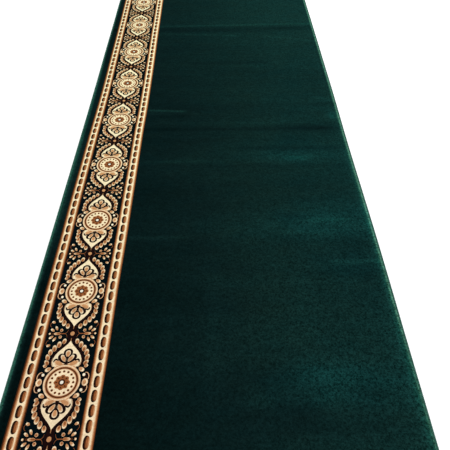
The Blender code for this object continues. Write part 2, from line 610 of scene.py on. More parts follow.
@dataclass
class NapSheen:
    """The leaning cut pile's painted sheen: how much light it throws back, painted into its colour, and
    how blue its green looks.
    """

    lie: Lie
    top: PileTop
    left: LeftEdgeSheen = LeftEdgeSheen()
    right: RightEdgeSheen = RightEdgeSheen()
    near_row: float = -1.10
    run: float = 2.40  # from the near row to the far one
    beyond: Point = (-0.1, 1.2)  # how far past those rows the change goes on
    # painted light: lighter towards the far end, where the pile is seen at a grazing angle, and towards
    # the right, where the side light falls
    across: Step = Step(-0.42, 0.46)
    darkest: float = 0.06  # at the near left
    to_far: float = 0.25
    to_right: float = 0.37
    far_loss: float = 0.12  # how much less the right side gains at the far end
    far_step: Step = Step(0.82, 0.90, 0.02)
    unevenness: Triple = (0.022, 0.026, 0.016)  # broad, in streaks, and mottled
    tone: float = 0.35  # the plain dye
    tone_across: Step = Step(0.10, 0.45, 0.22)
    tone_broad: float = 0.14
    tone_rim: Hump = Hump(0.0, 9.0 * MM, 0.60)

    def __post_init__(self) -> None:
        """Draws its own noise once."""
        self.mottle = SoftNoise(13, 0.045, 0.018)

    def light(self, x: Array, y: Array) -> Array:
        """How much light the leaning pile throws back, as painted light and shade.

        Args:
            x, y: places across and along the carpet.

        Returns:
            The painted light at each place, from 0 (dark) to 1 (bright) and a little beyond.
        """
        along = np.clip((y - self.near_row) / self.run, *self.beyond)
        gain = (self.to_right - self.far_loss * along) * self.across.at(x)
        level = self.darkest + self.to_far * along + gain + self.far_step.at(y)
        level = level + self.left.lift(np.maximum(x - self.lie.pile_left(y), 0.0), y)
        level = level + self.right.lift(np.maximum(self.lie.pile_right(y) - x, 0.0), y)
        # painted sheen patches, and painted light on the crease ridges and painted shade in their
        # hollows
        level = level + sum(part.lift * part.share(x, y) for part in (*SHEEN_PATCHES, *CREASES))
        noises = (self.top.broad, self.top.streak, self.mottle)
        return level + sum(share * noise(x, y) for share, noise in zip(self.unevenness, noises))

    def cool(self, x: Array, y: Array) -> Array:
        """How blue the green looks.

        Args:
            x, y: places across and along the carpet.

        Returns:
            The tone at each place, from 0 (warm) to 1 (blue).
        """
        tone = self.tone + self.tone_across.at(x) + self.tone_broad * self.top.broad(y / 2, x)
        # warmer at the sides, with the painted rim highlight, and bluer in some painted sheen patches
        tone = tone - self.tone_rim.at(np.maximum(self.top.inset(x, y), 0.0))
        tone = tone + sum(patch.cool * patch.share(x, y) for patch in SHEEN_PATCHES)
        return np.clip(tone, 0.0, 1.0)


# ------ shader groups


@dataclass
class Nodes:
    """A short way to write down a node tree."""

    tree: NodeTree

    def add(
        self, kind: str, inputs: dict[str | int, Feed] | None = None, **settings: object
    ) -> Node:
        """Adds one node.

        Args:
            kind: the node's type.
            inputs: what each named or numbered input takes.
            settings: the node's properties.

        Returns:
            The node.
        """
        node = self.tree.nodes.new(kind)
        for name, value in settings.items():
            setattr(node, name, value)
        for name, value in (inputs or {}).items():
            self.put(node.inputs[name], value)
        return node

    def put(self, socket: Socket, value: Feed) -> None:
        """Links a socket to another one, or sets its value.

        Args:
            socket: the socket that takes the value.
            value: a number, a vector or another socket.
        """
        if isinstance(value, Socket):
            self.tree.links.new(value, socket)
        else:
            socket.default_value = value

    def given(self, name: str) -> Socket:
        """One of the inputs of this group."""
        return self.tree.nodes["in"].outputs[name]

    def give(self, name: str, value: Feed) -> None:
        """Sets one of the outputs of this group."""
        self.put(self.tree.nodes["out"].inputs[name], value)

    def math(self, operation: str, *values: Feed, clamp: bool = False) -> Socket:
        """One step of arithmetic.

        Args:
            operation: the Math node's operation.
            values: numbers or sockets, in order.
            clamp: True to keep the result from 0 to 1.

        Returns:
            The socket that holds the result.
        """
        inputs = dict(enumerate(values))
        return self.add("ShaderNodeMath", inputs, operation=operation, use_clamp=clamp).outputs[0]

    def share(self, value: Feed, start: float, stop: float) -> Socket:
        """How far a value has come from start to stop, from 0 to 1."""
        return self.math("DIVIDE", self.math("SUBTRACT", value, start), stop - start, clamp=True)

    def between(self, low: Feed, high: Feed, share: Feed) -> Socket:
        """A number that goes from low to high as share goes from 0 to 1."""
        inputs = {"Factor": share, "A": low, "B": high}
        return self.add("ShaderNodeMix", inputs, data_type="FLOAT").outputs["Result"]

    def mixed(self, kind: str, low: Feed, high: Feed, share: Feed) -> Socket:
        """Mixes two vectors or colours.

        Args:
            kind: VECTOR or RGBA.
            low: what it is where share is 0.
            high: what it is where share is 1.
            share: a number or a socket.

        Returns:
            The socket that holds the mix.
        """
        node = self.add("ShaderNodeMix", {"Factor": share}, data_type=kind, clamp_factor=True)
        ends = [socket for socket in node.inputs if socket.type == kind][-2:]
        self.put(ends[0], low)
        self.put(ends[1], high)
        return next(socket for socket in node.outputs if socket.type == kind)

    def scaled(self, vector: Feed, by: Feed) -> Socket:
        """A vector times another, part by part."""
        return self.add("ShaderNodeVectorMath", {0: vector, 1: by}, operation="MULTIPLY").outputs[0]

    def tinted(self, colour: Feed, *factors: Feed) -> Socket:
        """A colour times one number or two."""
        by = self.math("MULTIPLY", *factors) if len(factors) > 1 else factors[0]
        return self.add("ShaderNodeVectorMath", {0: colour, "Scale": by}, operation="SCALE").outputs[0]

    def stretched(self, value: Feed, gain: float) -> Socket:
        """A value round 0.5 with more contrast, kept from 0 to 1."""
        return self.math("MULTIPLY_ADD", value, gain, 0.5 - 0.5 * gain, clamp=True)

    def spread(self, reach: float, value: Feed) -> Socket:
        """A factor as far below 1 as above it, for a value from 0 to 1."""
        return self.between(1 - reach, 1 + reach, value)

    def place(self) -> Socket:
        """Each point's place on the carpet."""
        return self.add("ShaderNodeTexCoord").outputs["Object"]

    def parts(self, vector: Feed) -> dict[str, Socket]:
        """The X, Y and Z of a vector."""
        node = self.add("ShaderNodeSeparateXYZ", {0: vector})
        return {socket.name: socket for socket in node.outputs}

    def attribute(self, name: str) -> Socket:
        """A number that the mesh carries."""
        return self.add("ShaderNodeAttribute", attribute_name=name).outputs["Fac"]

    def in_cells(self, *sizes: Feed) -> Socket:
        """Each point's place on the carpet, counted in cells of those sizes along X, Y and Z."""
        counts = {i: self.math("DIVIDE", 1.0, size) for i, size in enumerate(sizes)}
        return self.scaled(self.place(), self.add("ShaderNodeCombineXYZ", counts).outputs[0])

    def noise(self, place: Feed, scale: Feed, detail: float, roughness: float = 0.5) -> Socket:
        """Soft noise from 0 to 1.

        Args:
            place: where it is read.
            scale: how many of its waves there are for each unit of the place.
            detail: how many finer layers it has.
            roughness: how strong those are.

        Returns:
            The socket that holds it.
        """
        inputs = {"Vector": place, "Scale": scale, "Detail": detail, "Roughness": roughness}
        return self.add("ShaderNodeTexNoise", inputs, noise_dimensions="3D").outputs["Fac"]

    def group(self, name: str, **values: Feed) -> dict[str, Socket]:
        """Places a shared group with its own values, and gives its outputs by name."""
        node = self.add("ShaderNodeGroup", values, node_tree=Groups.get(name))
        return {socket.name: socket for socket in node.outputs}

    def cloud(self, across: float, along: float) -> Socket:
        """Soft cloudiness from 0 to 1, in patches of that size."""
        return self.group("mottle", Across=across, Along=along)["Shade"]


def open_group(kind: str, name: str, inputs: dict[str, str], outputs: dict[str, str]) -> Nodes:
    """Opens a node group.

    Args:
        kind: ShaderNodeTree or GeometryNodeTree.
        name: the group's name.
        inputs: the name and the kind of each input.
        outputs: the name and the kind of each output.

    Returns:
        The group's nodes, with its input and output nodes in place.
    """
    tree = bpy.data.node_groups.new(name, kind)
    for way, sockets in (("INPUT", inputs), ("OUTPUT", outputs)):
        for socket, of_kind in sockets.items():
            tree.interface.new_socket(name=socket, in_out=way, socket_type="NodeSocket" + of_kind)
    nodes = Nodes(tree)
    nodes.add("NodeGroupInput", name="in")
    nodes.add("NodeGroupOutput", name="out")
    return nodes


class Groups:
    """The shader groups that more than one finish uses, each built once."""

    _made: dict[str, NodeTree] = {}

    @classmethod
    def get(cls, name: str) -> NodeTree:
        """The group of that name, built at its first use."""
        if name not in cls._made:
            cls._made[name] = getattr(cls, "_" + name)().tree
        return cls._made[name]

    @staticmethod
    def _start(name: str, inputs: Sequence[str], outputs: Sequence[str]) -> Nodes:
        """Opens a shader group whose sockets all hold numbers."""
        floats = [dict.fromkeys(names, "Float") for names in (inputs, outputs)]
        return open_group("ShaderNodeTree", name, *floats)

    @staticmethod
    def _tuft_grain() -> Nodes:
        """Cut pile: tufts of a set size, each a little lighter or darker, with painted shade in the gaps
        between them.

        Returns:
            The group's nodes.
        """
        upright = (1.0, 1.0, 0.35)  # tufts stand, so they are drawn out along Z
        irregular, tips_to_a_tuft = 0.85, 1.9
        contrast, dome_shade, tip_height = 3.0, 0.25, 0.45
        nodes = Groups._start("tuft_grain", ("Size", "Clump", "Splay"), ("Shade", "Height"))
        place = nodes.place()
        per_metre = nodes.math("DIVIDE", 1.0, nodes.given("Size"))
        inputs = {"Vector": nodes.scaled(place, upright), "Scale": per_metre, "Randomness": irregular}
        tufts = nodes.add("ShaderNodeTexVoronoi", inputs, feature="F1", voronoi_dimensions="3D")
        yarn = nodes.add("ShaderNodeSeparateColor", {0: tufts.outputs["Color"]}).outputs[0]
        tips = nodes.noise(place, nodes.math("MULTIPLY", per_metre, tips_to_a_tuft), 2.0)
        clumps = nodes.noise(place, nodes.math("DIVIDE", 1.0, nodes.given("Clump")), 1.0)
        mixed = nodes.between(yarn, nodes.stretched(clumps, contrast), nodes.given("Splay"))
        # painted shade: each tuft darker towards its edge, where the gaps between tufts lie
        dome = nodes.math("SUBTRACT", 1.0, tufts.outputs["Distance"], clamp=True)
        nodes.give("Shade", nodes.between(mixed, dome, dome_shade))
        nodes.give("Height", nodes.between(dome, tips, tip_height))
        return nodes

    @staticmethod
    def _mottle() -> Nodes:
        """Soft cloudiness that may be longer across the cloth than along it.

        Returns:
            The group's nodes.
        """
        nodes = Groups._start("mottle", ("Across", "Along"), ("Shade",))
        along = nodes.given("Along")
        cloud = nodes.noise(nodes.in_cells(nodes.given("Across"), along, along), 1.0, 3.0, 0.6)
        nodes.give("Shade", nodes.stretched(cloud, 2.2))
        return nodes

    @staticmethod
    def _plain_weave() -> Nodes:
        """Over-and-under threads: their height, and which of the two threads lies on top.

        Returns:
            The group's nodes.
        """
        nodes = Groups._start("plain_weave", ("Pitch",), ("Height", "Weft"))
        place = nodes.parts(nodes.place())
        turn = nodes.math("DIVIDE", math.pi, nodes.given("Pitch"))
        waves = [nodes.math("SINE", nodes.math("MULTIPLY", place[axis], turn)) for axis in "XY"]
        cross = nodes.math("MULTIPLY", *waves)
        nodes.give("Height", nodes.math("ABSOLUTE", cross))
        nodes.give("Weft", nodes.math("GREATER_THAN", cross, 0.0))
        return nodes

    @staticmethod
    def _fibre() -> Nodes:
        """Fine drawn-out fibres of a yarn that runs across an edge.

        Returns:
            The group's nodes.
        """
        nodes = Groups._start("fibre", ("Thickness", "Length"), ("Shade",))
        long = nodes.given("Length")
        nodes.give("Shade", nodes.noise(nodes.in_cells(long, nodes.given("Thickness"), long), 1.0, 2.0))
        return nodes


# ------ finishes


class Yarn(Enum):
    """The pile yarns of the border, by the name of their piece."""

    NIGHT = "night"
    UMBER = "umber"
    CHOCOLATE = "chocolate"
    BROWN = "brown"
    COPPER = "copper"
    SAND = "sand"
    CREAM = "cream"
    WHITE = "white"


YARN_GAIN = 0.70  # the studio light gives a flat surface about 1.4 times its own colour
DYES: dict[Yarn, Colour] = {
    Yarn.NIGHT: (5.0, 15.0, 18.0),
    Yarn.UMBER: (28.0, 14.0, 13.0),
    Yarn.CHOCOLATE: (74.0, 40.0, 20.0),
    Yarn.BROWN: (151.0, 89.0, 46.0),
    Yarn.COPPER: (200.0, 145.0, 95.0),
    Yarn.SAND: (228.0, 190.0, 146.0),
    Yarn.CREAM: (250.0, 230.0, 187.0),
    Yarn.WHITE: (250.0, 246.0, 224.0),
}
DARK_YARNS = (Yarn.NIGHT, Yarn.UMBER, Yarn.CHOCOLATE)
SHEEN_RANGE = 1.5  # the lightest painted sheen
FIELD_GREENS: tuple[tuple[float, Colour], ...] = (  # the painted sheen, and the green it looks
    (0.0, (4.0, 16.0, 16.0)),
    (0.24, (11.0, 30.0, 30.0)),
    (0.43, (15.0, 40.0, 38.0)),
    (0.66, (20.0, 52.0, 48.0)),
    (0.86, (22.0, 64.0, 57.0)),
    (1.20, (37.0, 88.0, 75.0)),
    (SHEEN_RANGE, (70.0, 122.0, 105.0)),
)


Look = tuple[Socket, Socket | None]  # a colour, and the height of a surface that isn't flat


@dataclass(frozen=True)
class Finish:
    """What every finish shares: a matt Principled shader that its own look is fed to."""

    name: str
    roughness: float = 0.95
    specular: float = 0.05
    depth: float = 0.5 * MM  # of its bump

    def material(self) -> Material:
        """Builds the material.

        Returns:
            The material.
        """
        material = bpy.data.materials.new(self.name)
        material.use_nodes = True
        nodes = Nodes(material.node_tree)
        shader = nodes.tree.nodes["Principled BSDF"]
        shader.inputs["Roughness"].default_value = self.roughness
        shader.inputs["Specular IOR Level"].default_value = self.specular
        colour, height = self.look(nodes)
        nodes.put(shader.inputs["Base Color"], colour)
        if height is not None:
            bump = {"Strength": 1.0, "Distance": self.depth, "Height": height}
            nodes.put(shader.inputs["Normal"], nodes.add("ShaderNodeBump", bump).outputs["Normal"])
        return material

    def look(self, nodes: Nodes) -> Look:
        """The colour and the height of the finish, which each finish works out in its own way."""
        raise NotImplementedError


@dataclass(frozen=True)
class CutPile(Finish):
    """What the cut piles share: tufts in clumps, each a little lighter or darker."""

    tuft: float = 2.0 * MM
    clump: float = 7.0 * MM
    splay: float = 0.4  # how far the shade of the clumps outdoes that of the tufts

    def tufts(self, nodes: Nodes) -> dict[str, Socket]:
        """The shade and the height of the tufts."""
        return nodes.group("tuft_grain", Size=self.tuft, Clump=self.clump, Splay=self.splay)


@dataclass(frozen=True)
class YarnPile(CutPile):
    """Cut pile of one dyed yarn, with painted sheen that lightens it towards the far end."""

    colour: Colour = (200.0, 200.0, 200.0)
    grain: float = 0.26  # how much lighter and darker the tufts are
    cloud: float = 0.10
    cloud_size: float = 16.0 * MM
    near_sheen: Triple = (0.960, 0.930, 0.970)  # painted sheen: how much light it throws back, near and far
    far_sheen: Triple = (1.120, 1.245, 1.210)
    sheen_from: float = -1.15
    sheen_to: float = 0.90
    quickness: float = 0.7  # under 1, most of the change comes early

    def look(self, nodes: Nodes) -> Look:
        """The dye, with painted sheen that changes along the carpet.

        Args:
            nodes: the material's nodes.

        Returns:
            The colour and the height of the tufts.
        """
        away = nodes.share(nodes.parts(nodes.place())["Y"], self.sheen_from, self.sheen_to)
        away = nodes.math("POWER", away, self.quickness)
        painted_sheen = nodes.mixed("VECTOR", self.near_sheen, self.far_sheen, away)
        tufts, cloud = self.tufts(nodes), nodes.cloud(self.cloud_size, self.cloud_size)
        factors = (nodes.spread(self.grain, tufts["Shade"]), nodes.spread(self.cloud, cloud))
        dyed = nodes.scaled(linear(self.colour, YARN_GAIN), painted_sheen)
        return nodes.tinted(dyed, *factors), tufts["Height"]


@dataclass(frozen=True)
class FieldPile(CutPile):
    """The green pile, darker or lighter with the painted sheen that the mesh carries."""

    greens: tuple[tuple[float, Colour], ...] = FIELD_GREENS
    grain: float = 0.66
    dim_grain: float = 0.50  # the share of the grain that pile with dark painted sheen shows
    lit_grain: float = 1.15
    dim_sheen: float = 0.12
    lit_sheen: float = 0.42
    ruffled: float = 1.50  # how much stronger the grain is at the trodden near end
    ruffled_from: float = -0.25
    ruffled_to: float = -0.80
    cloud: float = 0.15
    cloud_size: Point = (32.0 * MM, 14.0 * MM)
    tuft: float = 3.0 * MM
    clump: float = 7.5 * MM
    splay: float = 0.45
    warm_side: Triple = (1.16, 1.0, 0.93)
    cool_side: Triple = (0.72, 1.0, 1.08)
    hue_spread: float = 0.22
    hue_size: Point = (100.0 * MM, 45.0 * MM)

    def look(self, nodes: Nodes) -> Look:
        """The green of the pile with its painted sheen, and a grain that shows less where the painted
        sheen is dark.

        Args:
            nodes: the material's nodes.

        Returns:
            The colour and the height of the tufts.
        """
        nap_sheen, tufts = nodes.attribute("nap_sheen"), self.tufts(nodes)
        lit_share = nodes.share(nap_sheen, self.dim_sheen, self.lit_sheen)
        swing = nodes.between(self.dim_grain, self.lit_grain, lit_share)
        tuft = nodes.math("MULTIPLY", nodes.between(-1.0, 1.0, tufts["Shade"]), swing)
        tuft = nodes.math("MULTIPLY", tuft, self.grain)
        close = nodes.share(nodes.parts(nodes.place())["Y"], self.ruffled_from, self.ruffled_to)
        tuft = nodes.math("MULTIPLY", tuft, nodes.between(1.0, self.ruffled, close))
        cloud = nodes.spread(self.cloud, nodes.cloud(*self.cloud_size))
        dyed = nodes.scaled(self._green(nodes, nap_sheen), self._tint(nodes))
        return nodes.tinted(dyed, nodes.math("ADD", 1.0, tuft), cloud), tufts["Height"]

    def _green(self, nodes: Nodes, nap_sheen: Socket) -> Socket:
        """The green that each level of painted sheen looks.

        Args:
            nodes: the material's nodes.
            nap_sheen: the painted sheen.

        Returns:
            The socket that holds the green.
        """
        ramp = nodes.add("ShaderNodeValToRGB", {"Fac": nap_sheen})
        elements = ramp.color_ramp.elements
        while len(elements) < len(self.greens):
            elements.new(0.5)
        for element, (lean, colour) in zip(elements, self.greens):
            element.position = lean / SHEEN_RANGE
            element.color = (*linear(colour, YARN_GAIN), 1.0)
        return ramp.outputs["Color"]

    def _tint(self, nodes: Nodes) -> Socket:
        """How much bluer or warmer than the plain dye each place looks.

        Args:
            nodes: the material's nodes.

        Returns:
            The socket that holds a factor on red, green and blue.
        """
        hue = nodes.between(-self.hue_spread, self.hue_spread, nodes.cloud(*self.hue_size))
        cool = nodes.math("ADD", nodes.attribute("cool"), hue)
        return nodes.mixed("VECTOR", self.warm_side, self.cool_side, cool)


@dataclass(frozen=True)
class OvercastYarn(Finish):
    """Thick green yarn, each turn a little lighter or darker, with its fibres showing."""

    colour: Colour = (56.0, 104.0, 90.0)
    spread: float = 0.22
    fibres: float = 0.28
    fine: float = 0.35 * MM
    long: float = 3.0 * MM
    depth: float = 0.25 * MM
    along_x: bool = True  # the yarn crosses the edge along X

    def look(self, nodes: Nodes) -> Look:
        """The dyed yarn.

        Args:
            nodes: the material's nodes.

        Returns:
            The colour and the height of the fibres.
        """
        fine, long = (self.fine, self.long) if self.along_x else (self.long, self.fine)
        fibre = nodes.group("fibre", Thickness=fine, Length=long)["Shade"]
        turn = nodes.spread(self.spread, nodes.attribute("turn_shade"))
        hair = nodes.spread(self.fibres, fibre)
        return nodes.tinted(linear(self.colour, YARN_GAIN), turn, hair), fibre


@dataclass(frozen=True)
class WovenGround(Finish):
    """The ground weave under the pile: jute weft over dark warp."""

    weft: Colour = (150.0, 128.0, 96.0)
    warp: Colour = (62.0, 74.0, 62.0)
    pitch: float = 3.2 * MM
    slub: Point = (50.0 * MM, 4.0 * MM)
    gap_shade: float = 0.45
    uneven: float = 0.3

    def look(self, nodes: Nodes) -> Look:
        """The two yarns, with painted shade where they dip.

        Args:
            nodes: the material's nodes.

        Returns:
            The colour and the height of the threads.
        """
        weave = nodes.group("plain_weave", Pitch=self.pitch)
        yarns = ((*linear(yarn), 1.0) for yarn in (self.warp, self.weft))
        # painted shade: the colour is darker where the threads dip
        dip_shade = nodes.between(self.gap_shade, 1.0, weave["Height"])
        cloud = nodes.spread(self.uneven, nodes.cloud(*self.slub))
        return nodes.tinted(nodes.mixed("RGBA", *yarns, weave["Weft"]), dip_shade, cloud), weave["Height"]


@dataclass(frozen=True)
class PaleFloor(Finish):
    """A plain, pale, matt studio floor."""

    colour: Colour = (248.0, 248.0, 248.0)
    cloud: float = 0.01
    cloud_size: float = 0.4

    def look(self, nodes: Nodes) -> Look:
        """The pale floor, which is flat."""
        cloud = nodes.spread(self.cloud, nodes.cloud(self.cloud_size, self.cloud_size))
        return nodes.tinted(linear(self.colour), cloud), None


# ------ drawing the border


class Mark(NamedTuple):
    """One closed shape of the pattern, in millimetres, and the yarn it is woven in."""

    yarn: Yarn
    outline: list[Point]


def turned(centre: Point, x: float, y: float, tilt: float) -> Point:
    """The place (x, y) of a shape that is turned by tilt degrees about its centre."""
    c, s = math.cos(math.radians(tilt)), math.sin(math.radians(tilt))
    return centre[0] + c * x - s * y, centre[1] + s * x + c * y


def oval(
    yarn: Yarn, centre: Point, width: float, height: float, tilt: float = 0.0, points: int = 18
) -> Mark:
    """An oval.

    Args:
        yarn: its yarn.
        centre: its middle.
        width: its size across, before it is turned.
        height: its size along.
        tilt: how far it is turned, in degrees.
        points: the number of points.

    Returns:
        The mark.
    """
    turns = [2 * math.pi * i / points for i in range(points)]
    spots = [(width / 2 * math.cos(t), height / 2 * math.sin(t)) for t in turns]
    return Mark(yarn, [turned(centre, x, y, tilt) for x, y in spots])


def pebble(yarn: Yarn, centre: Point, width: float, height: float, points: int = 20) -> Mark:
    """A rectangle with fully rounded corners.

    Args:
        yarn: its yarn.
        centre: its middle.
        width: its size across.
        height: its size along.
        points: the number of points.

    Returns:
        The mark.
    """
    flat_side, flat_end = 0.86, 0.74  # 1 gives an oval, and less a squarer shape
    found = []
    for i in range(points):
        t = 2 * math.pi * (i + 0.5) / points
        x = math.copysign(abs(math.cos(t)) ** flat_side, math.cos(t))
        y = math.copysign(abs(math.sin(t)) ** flat_end, math.sin(t))
        found.append((centre[0] + width / 2 * x, centre[1] + height / 2 * y))
    return Mark(yarn, found)


def petal(
    yarn: Yarn, root: Point, tip: Point, width: float, taper: float = 1.0, points: int = 18
) -> Mark:
    """A drop that is pointed at its root and round at its tip.

    Args:
        yarn: its yarn.
        root: the pointed end.
        tip: the round end.
        width: the greatest width.
        taper: how slender the root is; 0 gives an oval.
        points: the number of points.

    Returns:
        The mark.
    """
    length = math.dist(root, tip)
    ax, ay = (tip[0] - root[0]) / length, (tip[1] - root[1]) / length
    turns = [2 * math.pi * i / points for i in range(points)]
    sides = [math.sin(t) * math.sin(t / 2) ** taper for t in turns]
    found = []
    for t, side in zip(turns, sides):
        along = length * (1 - math.cos(t)) / 2
        off = width / 2 * side / max(sides)
        found.append((root[0] + ax * along - ay * off, root[1] + ay * along + ax * off))
    return Mark(yarn, found)


def smooth(points: Sequence[Point], steps: int = 4) -> list[Point]:
    """A smooth line through points (Catmull-Rom).

    Args:
        points: the points.
        steps: how many parts each span between two points gets.

    Returns:
        The line.
    """
    ends = [points[0], *points, points[-1]]
    found = []
    for spans in zip(ends, ends[1:], ends[2:], ends[3:]):
        for t in (step / steps for step in range(steps)):
            weights = (
                (-t + 2 * t * t - t**3) / 2,
                (2 - 5 * t * t + 3 * t**3) / 2,
                (t + 4 * t * t - 3 * t**3) / 2,
                (-t * t + t**3) / 2,
            )
            found.append(tuple(sum(w * p[k] for w, p in zip(weights, spans)) for k in (0, 1)))
    return [*found, points[-1]]


def stroke(yarn: Yarn, points: Sequence[Point], widths: Sequence[float], steps: int = 4) -> Mark:
    """A band along a smooth line.

    Args:
        yarn: its yarn.
        points: the points of the line.
        widths: the widths of the band, spread evenly along it.
        steps: how many parts each span between two points gets.

    Returns:
        The mark.
    """
    line = smooth(points, steps)
    broad = np.interp(np.linspace(0, len(widths) - 1, len(line)), range(len(widths)), widths)
    sides: tuple[list[Point], list[Point]] = ([], [])
    for i, (x, y) in enumerate(line):
        before, after = line[max(i - 1, 0)], line[min(i + 1, len(line) - 1)]
        dx, dy = after[0] - before[0], after[1] - before[1]
        half = broad[i] / 2 / math.hypot(dx, dy)
        sides[0].append((x - dy * half, y + dx * half))
        sides[1].append((x + dy * half, y - dx * half))
    return Mark(yarn, sides[0] + sides[1][::-1])


def small_leaf(
    root: Point, tip: Point, width: float, heart: float = 0.62, breadth: float = 0.74
) -> tuple[Mark, ...]:
    """A small two-toned leaf.

    Args:
        root: its pointed end.
        tip: its round end.
        width: its greatest width.
        heart: how much of its length the darker heart takes.
        breadth: how much of its width the heart takes.

    Returns:
        The leaf, its pale tip and its heart.
    """
    inner = (root[0] + heart * (tip[0] - root[0]), root[1] + heart * (tip[1] - root[1]))
    return (
        petal(Yarn.SAND, root, tip, width, 0.3, 16),
        petal(Yarn.CREAM, inner, tip, 0.70 * width, 0.1, 10),
        petal(Yarn.COPPER, root, inner, breadth * width, 0.2, 10),
    )


@dataclass(frozen=True)
class OgeeLeaf:
    """The pale pointed leaf above the medallion, in its dark outline that closes at a waist."""

    far: float = 170.0  # beyond the end of the drawn quarter
    rim: tuple[Point, ...] = (
        (14.0, 160.0), (12.2, 149.0), (11.0, 139.5), (14.6, 129.5), (22.0, 120.0), (30.4, 110.6),
        (38.4, 100.4), (45.2, 89.0), (49.4, 77.0), (50.4, 65.0), (48.0, 54.0), (41.0, 44.0),
    )  # fmt: skip
    leaf: tuple[Point, ...] = (
        (0.4, 135.2), (3.4, 129.4), (8.0, 122.6), (15.6, 114.0), (24.2, 104.8),
        (32.2, 95.2), (38.6, 84.6), (41.8, 73.0), (41.6, 62.0), (37.6, 50.0),
    )  # fmt: skip
    fold: tuple[Point, ...] = ((42.4, 78.0), (43.6, 68.0), (42.4, 58.0), (38.4, 50.0))
    point: tuple[Point, ...] = ((0.0, 134.0), (0.0, 138.0), (0.0, 144.0))
    foot: float = 55.6  # how far from the medallion's middle the leaf's foot is edged
    foot_angles: tuple[float, ...] = (90.0, 81.0, 72.0, 63.0, 55.0)

    def marks(self) -> list[Mark]:
        """Draws the leaf.

        Returns:
            Its shapes, from the lowest layer up.
        """
        edge = [turned((0.0, 0.0), self.foot, 0.0, angle) for angle in self.foot_angles]
        rim = [(0.0, self.far), (self.rim[0][0], self.far), *smooth(self.rim), (0.0, 40.0)]
        return [
            Mark(Yarn.UMBER, rim),
            Mark(Yarn.CREAM, [(0.0, 135.8), *smooth(self.leaf), (0.0, 44.0)]),
            stroke(Yarn.SAND, self.fold, (0.5, 1.2, 1.6, 1.2)),
            stroke(Yarn.SAND, edge, (7.0, 7.0, 6.6, 5.0, 2.0), 3),
            stroke(Yarn.COPPER, edge, (4.6, 4.6, 4.0, 2.6, 1.0), 3),
            stroke(Yarn.COPPER, self.point, (2.4, 1.6, 0.8), 2),
            oval(Yarn.COPPER, (0.0, 160.0), 12.8, 14.6, points=20),
        ]


@dataclass(frozen=True)
class Trefoil:
    """Three dark-rimmed petals inside the leaf, on a stem, with a curled leaf at their foot."""

    hook: tuple[Point, ...] = ((24.6, 68.0), (28.2, 71.6), (33.4, 72.6), (37.0, 68.8), (38.2, 63.0))
    stem: tuple[Point, ...] = (
        (-3.4, 82.0), (-2.4, 68.0), (-6.0, 53.0), (6.0, 53.0), (2.4, 68.0), (3.4, 82.0),
    )  # fmt: skip

    def marks(self) -> list[Mark]:
        """Draws the trefoil.

        Returns:
            Its shapes, from the lowest layer up.
        """
        return [
            petal(Yarn.SAND, (8.0, 52.0), (35.4, 67.6), 19.0, 0.5),
            petal(Yarn.COPPER, (8.0, 53.0), (32.6, 65.8), 12.0, 0.5, 14),
            oval(Yarn.CREAM, (35.0, 57.4), 4.6, 10.0, -12.0, 12),
            stroke(Yarn.UMBER, self.hook, (2.6, 5.2, 5.8, 5.0, 2.2)),
            petal(Yarn.UMBER, (4.0, 58.5), (23.4, 90.6), 23.0, 0.8),
            petal(Yarn.CREAM, (4.6, 64.8), (17.8, 87.6), 12.2, 0.6),
            petal(Yarn.SAND, (4.8, 65.2), (16.6, 84.8), 10.8, 0.6, 14),
            petal(Yarn.COPPER, (5.2, 65.8), (14.4, 81.6), 8.0, 0.6, 12),
            petal(Yarn.UMBER, (0.0, 73.5), (0.0, 108.8), 28.0, 0.7),
            petal(Yarn.CREAM, (0.0, 79.0), (0.0, 102.8), 14.8, 0.7),
            petal(Yarn.SAND, (0.0, 79.4), (0.0, 100.8), 13.0, 0.6, 14),
            petal(Yarn.COPPER, (0.0, 80.0), (0.0, 98.6), 10.0, 0.6, 12),
            Mark(Yarn.UMBER, list(self.stem)),
        ]


@dataclass(frozen=True)
class Sprig:
    """The flowering sprig that fills the ground halfway between two medallions."""

    middle: float = 160.0  # the sprig is mirrored there
    stem: tuple[Point, ...] = ((38.0, 0.0), (30.0, -0.4), (21.5, -1.0), (17.0, -6.0), (15.0, -13.0))
    tendril: tuple[Point, ...] = ((71.5, -40.0), (75.0, -33.0), (72.5, -25.5), (68.5, -23.0))

    def marks(self) -> list[Mark]:
        """Draws the sprig.

        Returns:
            Its shapes, from the lowest layer up.
        """
        shapes = [
            stroke(Yarn.BROWN, self.stem, (2.0, 1.8, 1.4, 1.0, 0.6)),
            stroke(Yarn.BROWN, self.tendril, (1.4, 1.3, 1.0, 0.6)),
            oval(Yarn.CHOCOLATE, (60.0, 0.0), 8.0, 7.0, points=12),
            *small_leaf((48.8, -12.2), (56.0, -26.6), 7.4),
            *small_leaf((57.6, -7.8), (69.8, -17.4), 7.8),
            oval(Yarn.COPPER, (70.4, 0.0), 6.6, 7.4, points=12),
            oval(Yarn.CREAM, (71.2, 0.0), 4.8, 5.4, points=10),
            oval(Yarn.SAND, (36.0, -11.8), 9.6, 10.8, points=14),
            oval(Yarn.COPPER, (36.2, -11.4), 7.8, 8.8, points=12),
            oval(Yarn.BROWN, (36.6, -10.8), 5.6, 6.0, points=8),
            oval(Yarn.SAND, (50.0, 0.0), 15.0, 8.6, points=16),
            petal(Yarn.COPPER, (54.0, 0.0), (36.5, 0.0), 8.6, 0.6, 12),
            petal(Yarn.BROWN, (50.0, 0.0), (36.8, 0.0), 5.0, 0.6, 12),
            *small_leaf((60.8, -38.2), (71.4, -43.6), 8.4, 0.70, 0.76),
        ]
        return [Mark(yarn, [(x, y + self.middle) for x, y in outline]) for yarn, outline in shapes]


class Bead(NamedTuple):
    """One bead of the cordon."""

    centre: Point
    width: float
    height: float
    tilt: float
    heart: float = 1.0  # how large its brown heart is


class BeadLayer(NamedTuple):
    """One layer of every bead, as shares of the bead's size."""

    yarn: Yarn
    up: float  # how far it is shifted away from the medallion
    wide: float
    high: float
    points: int


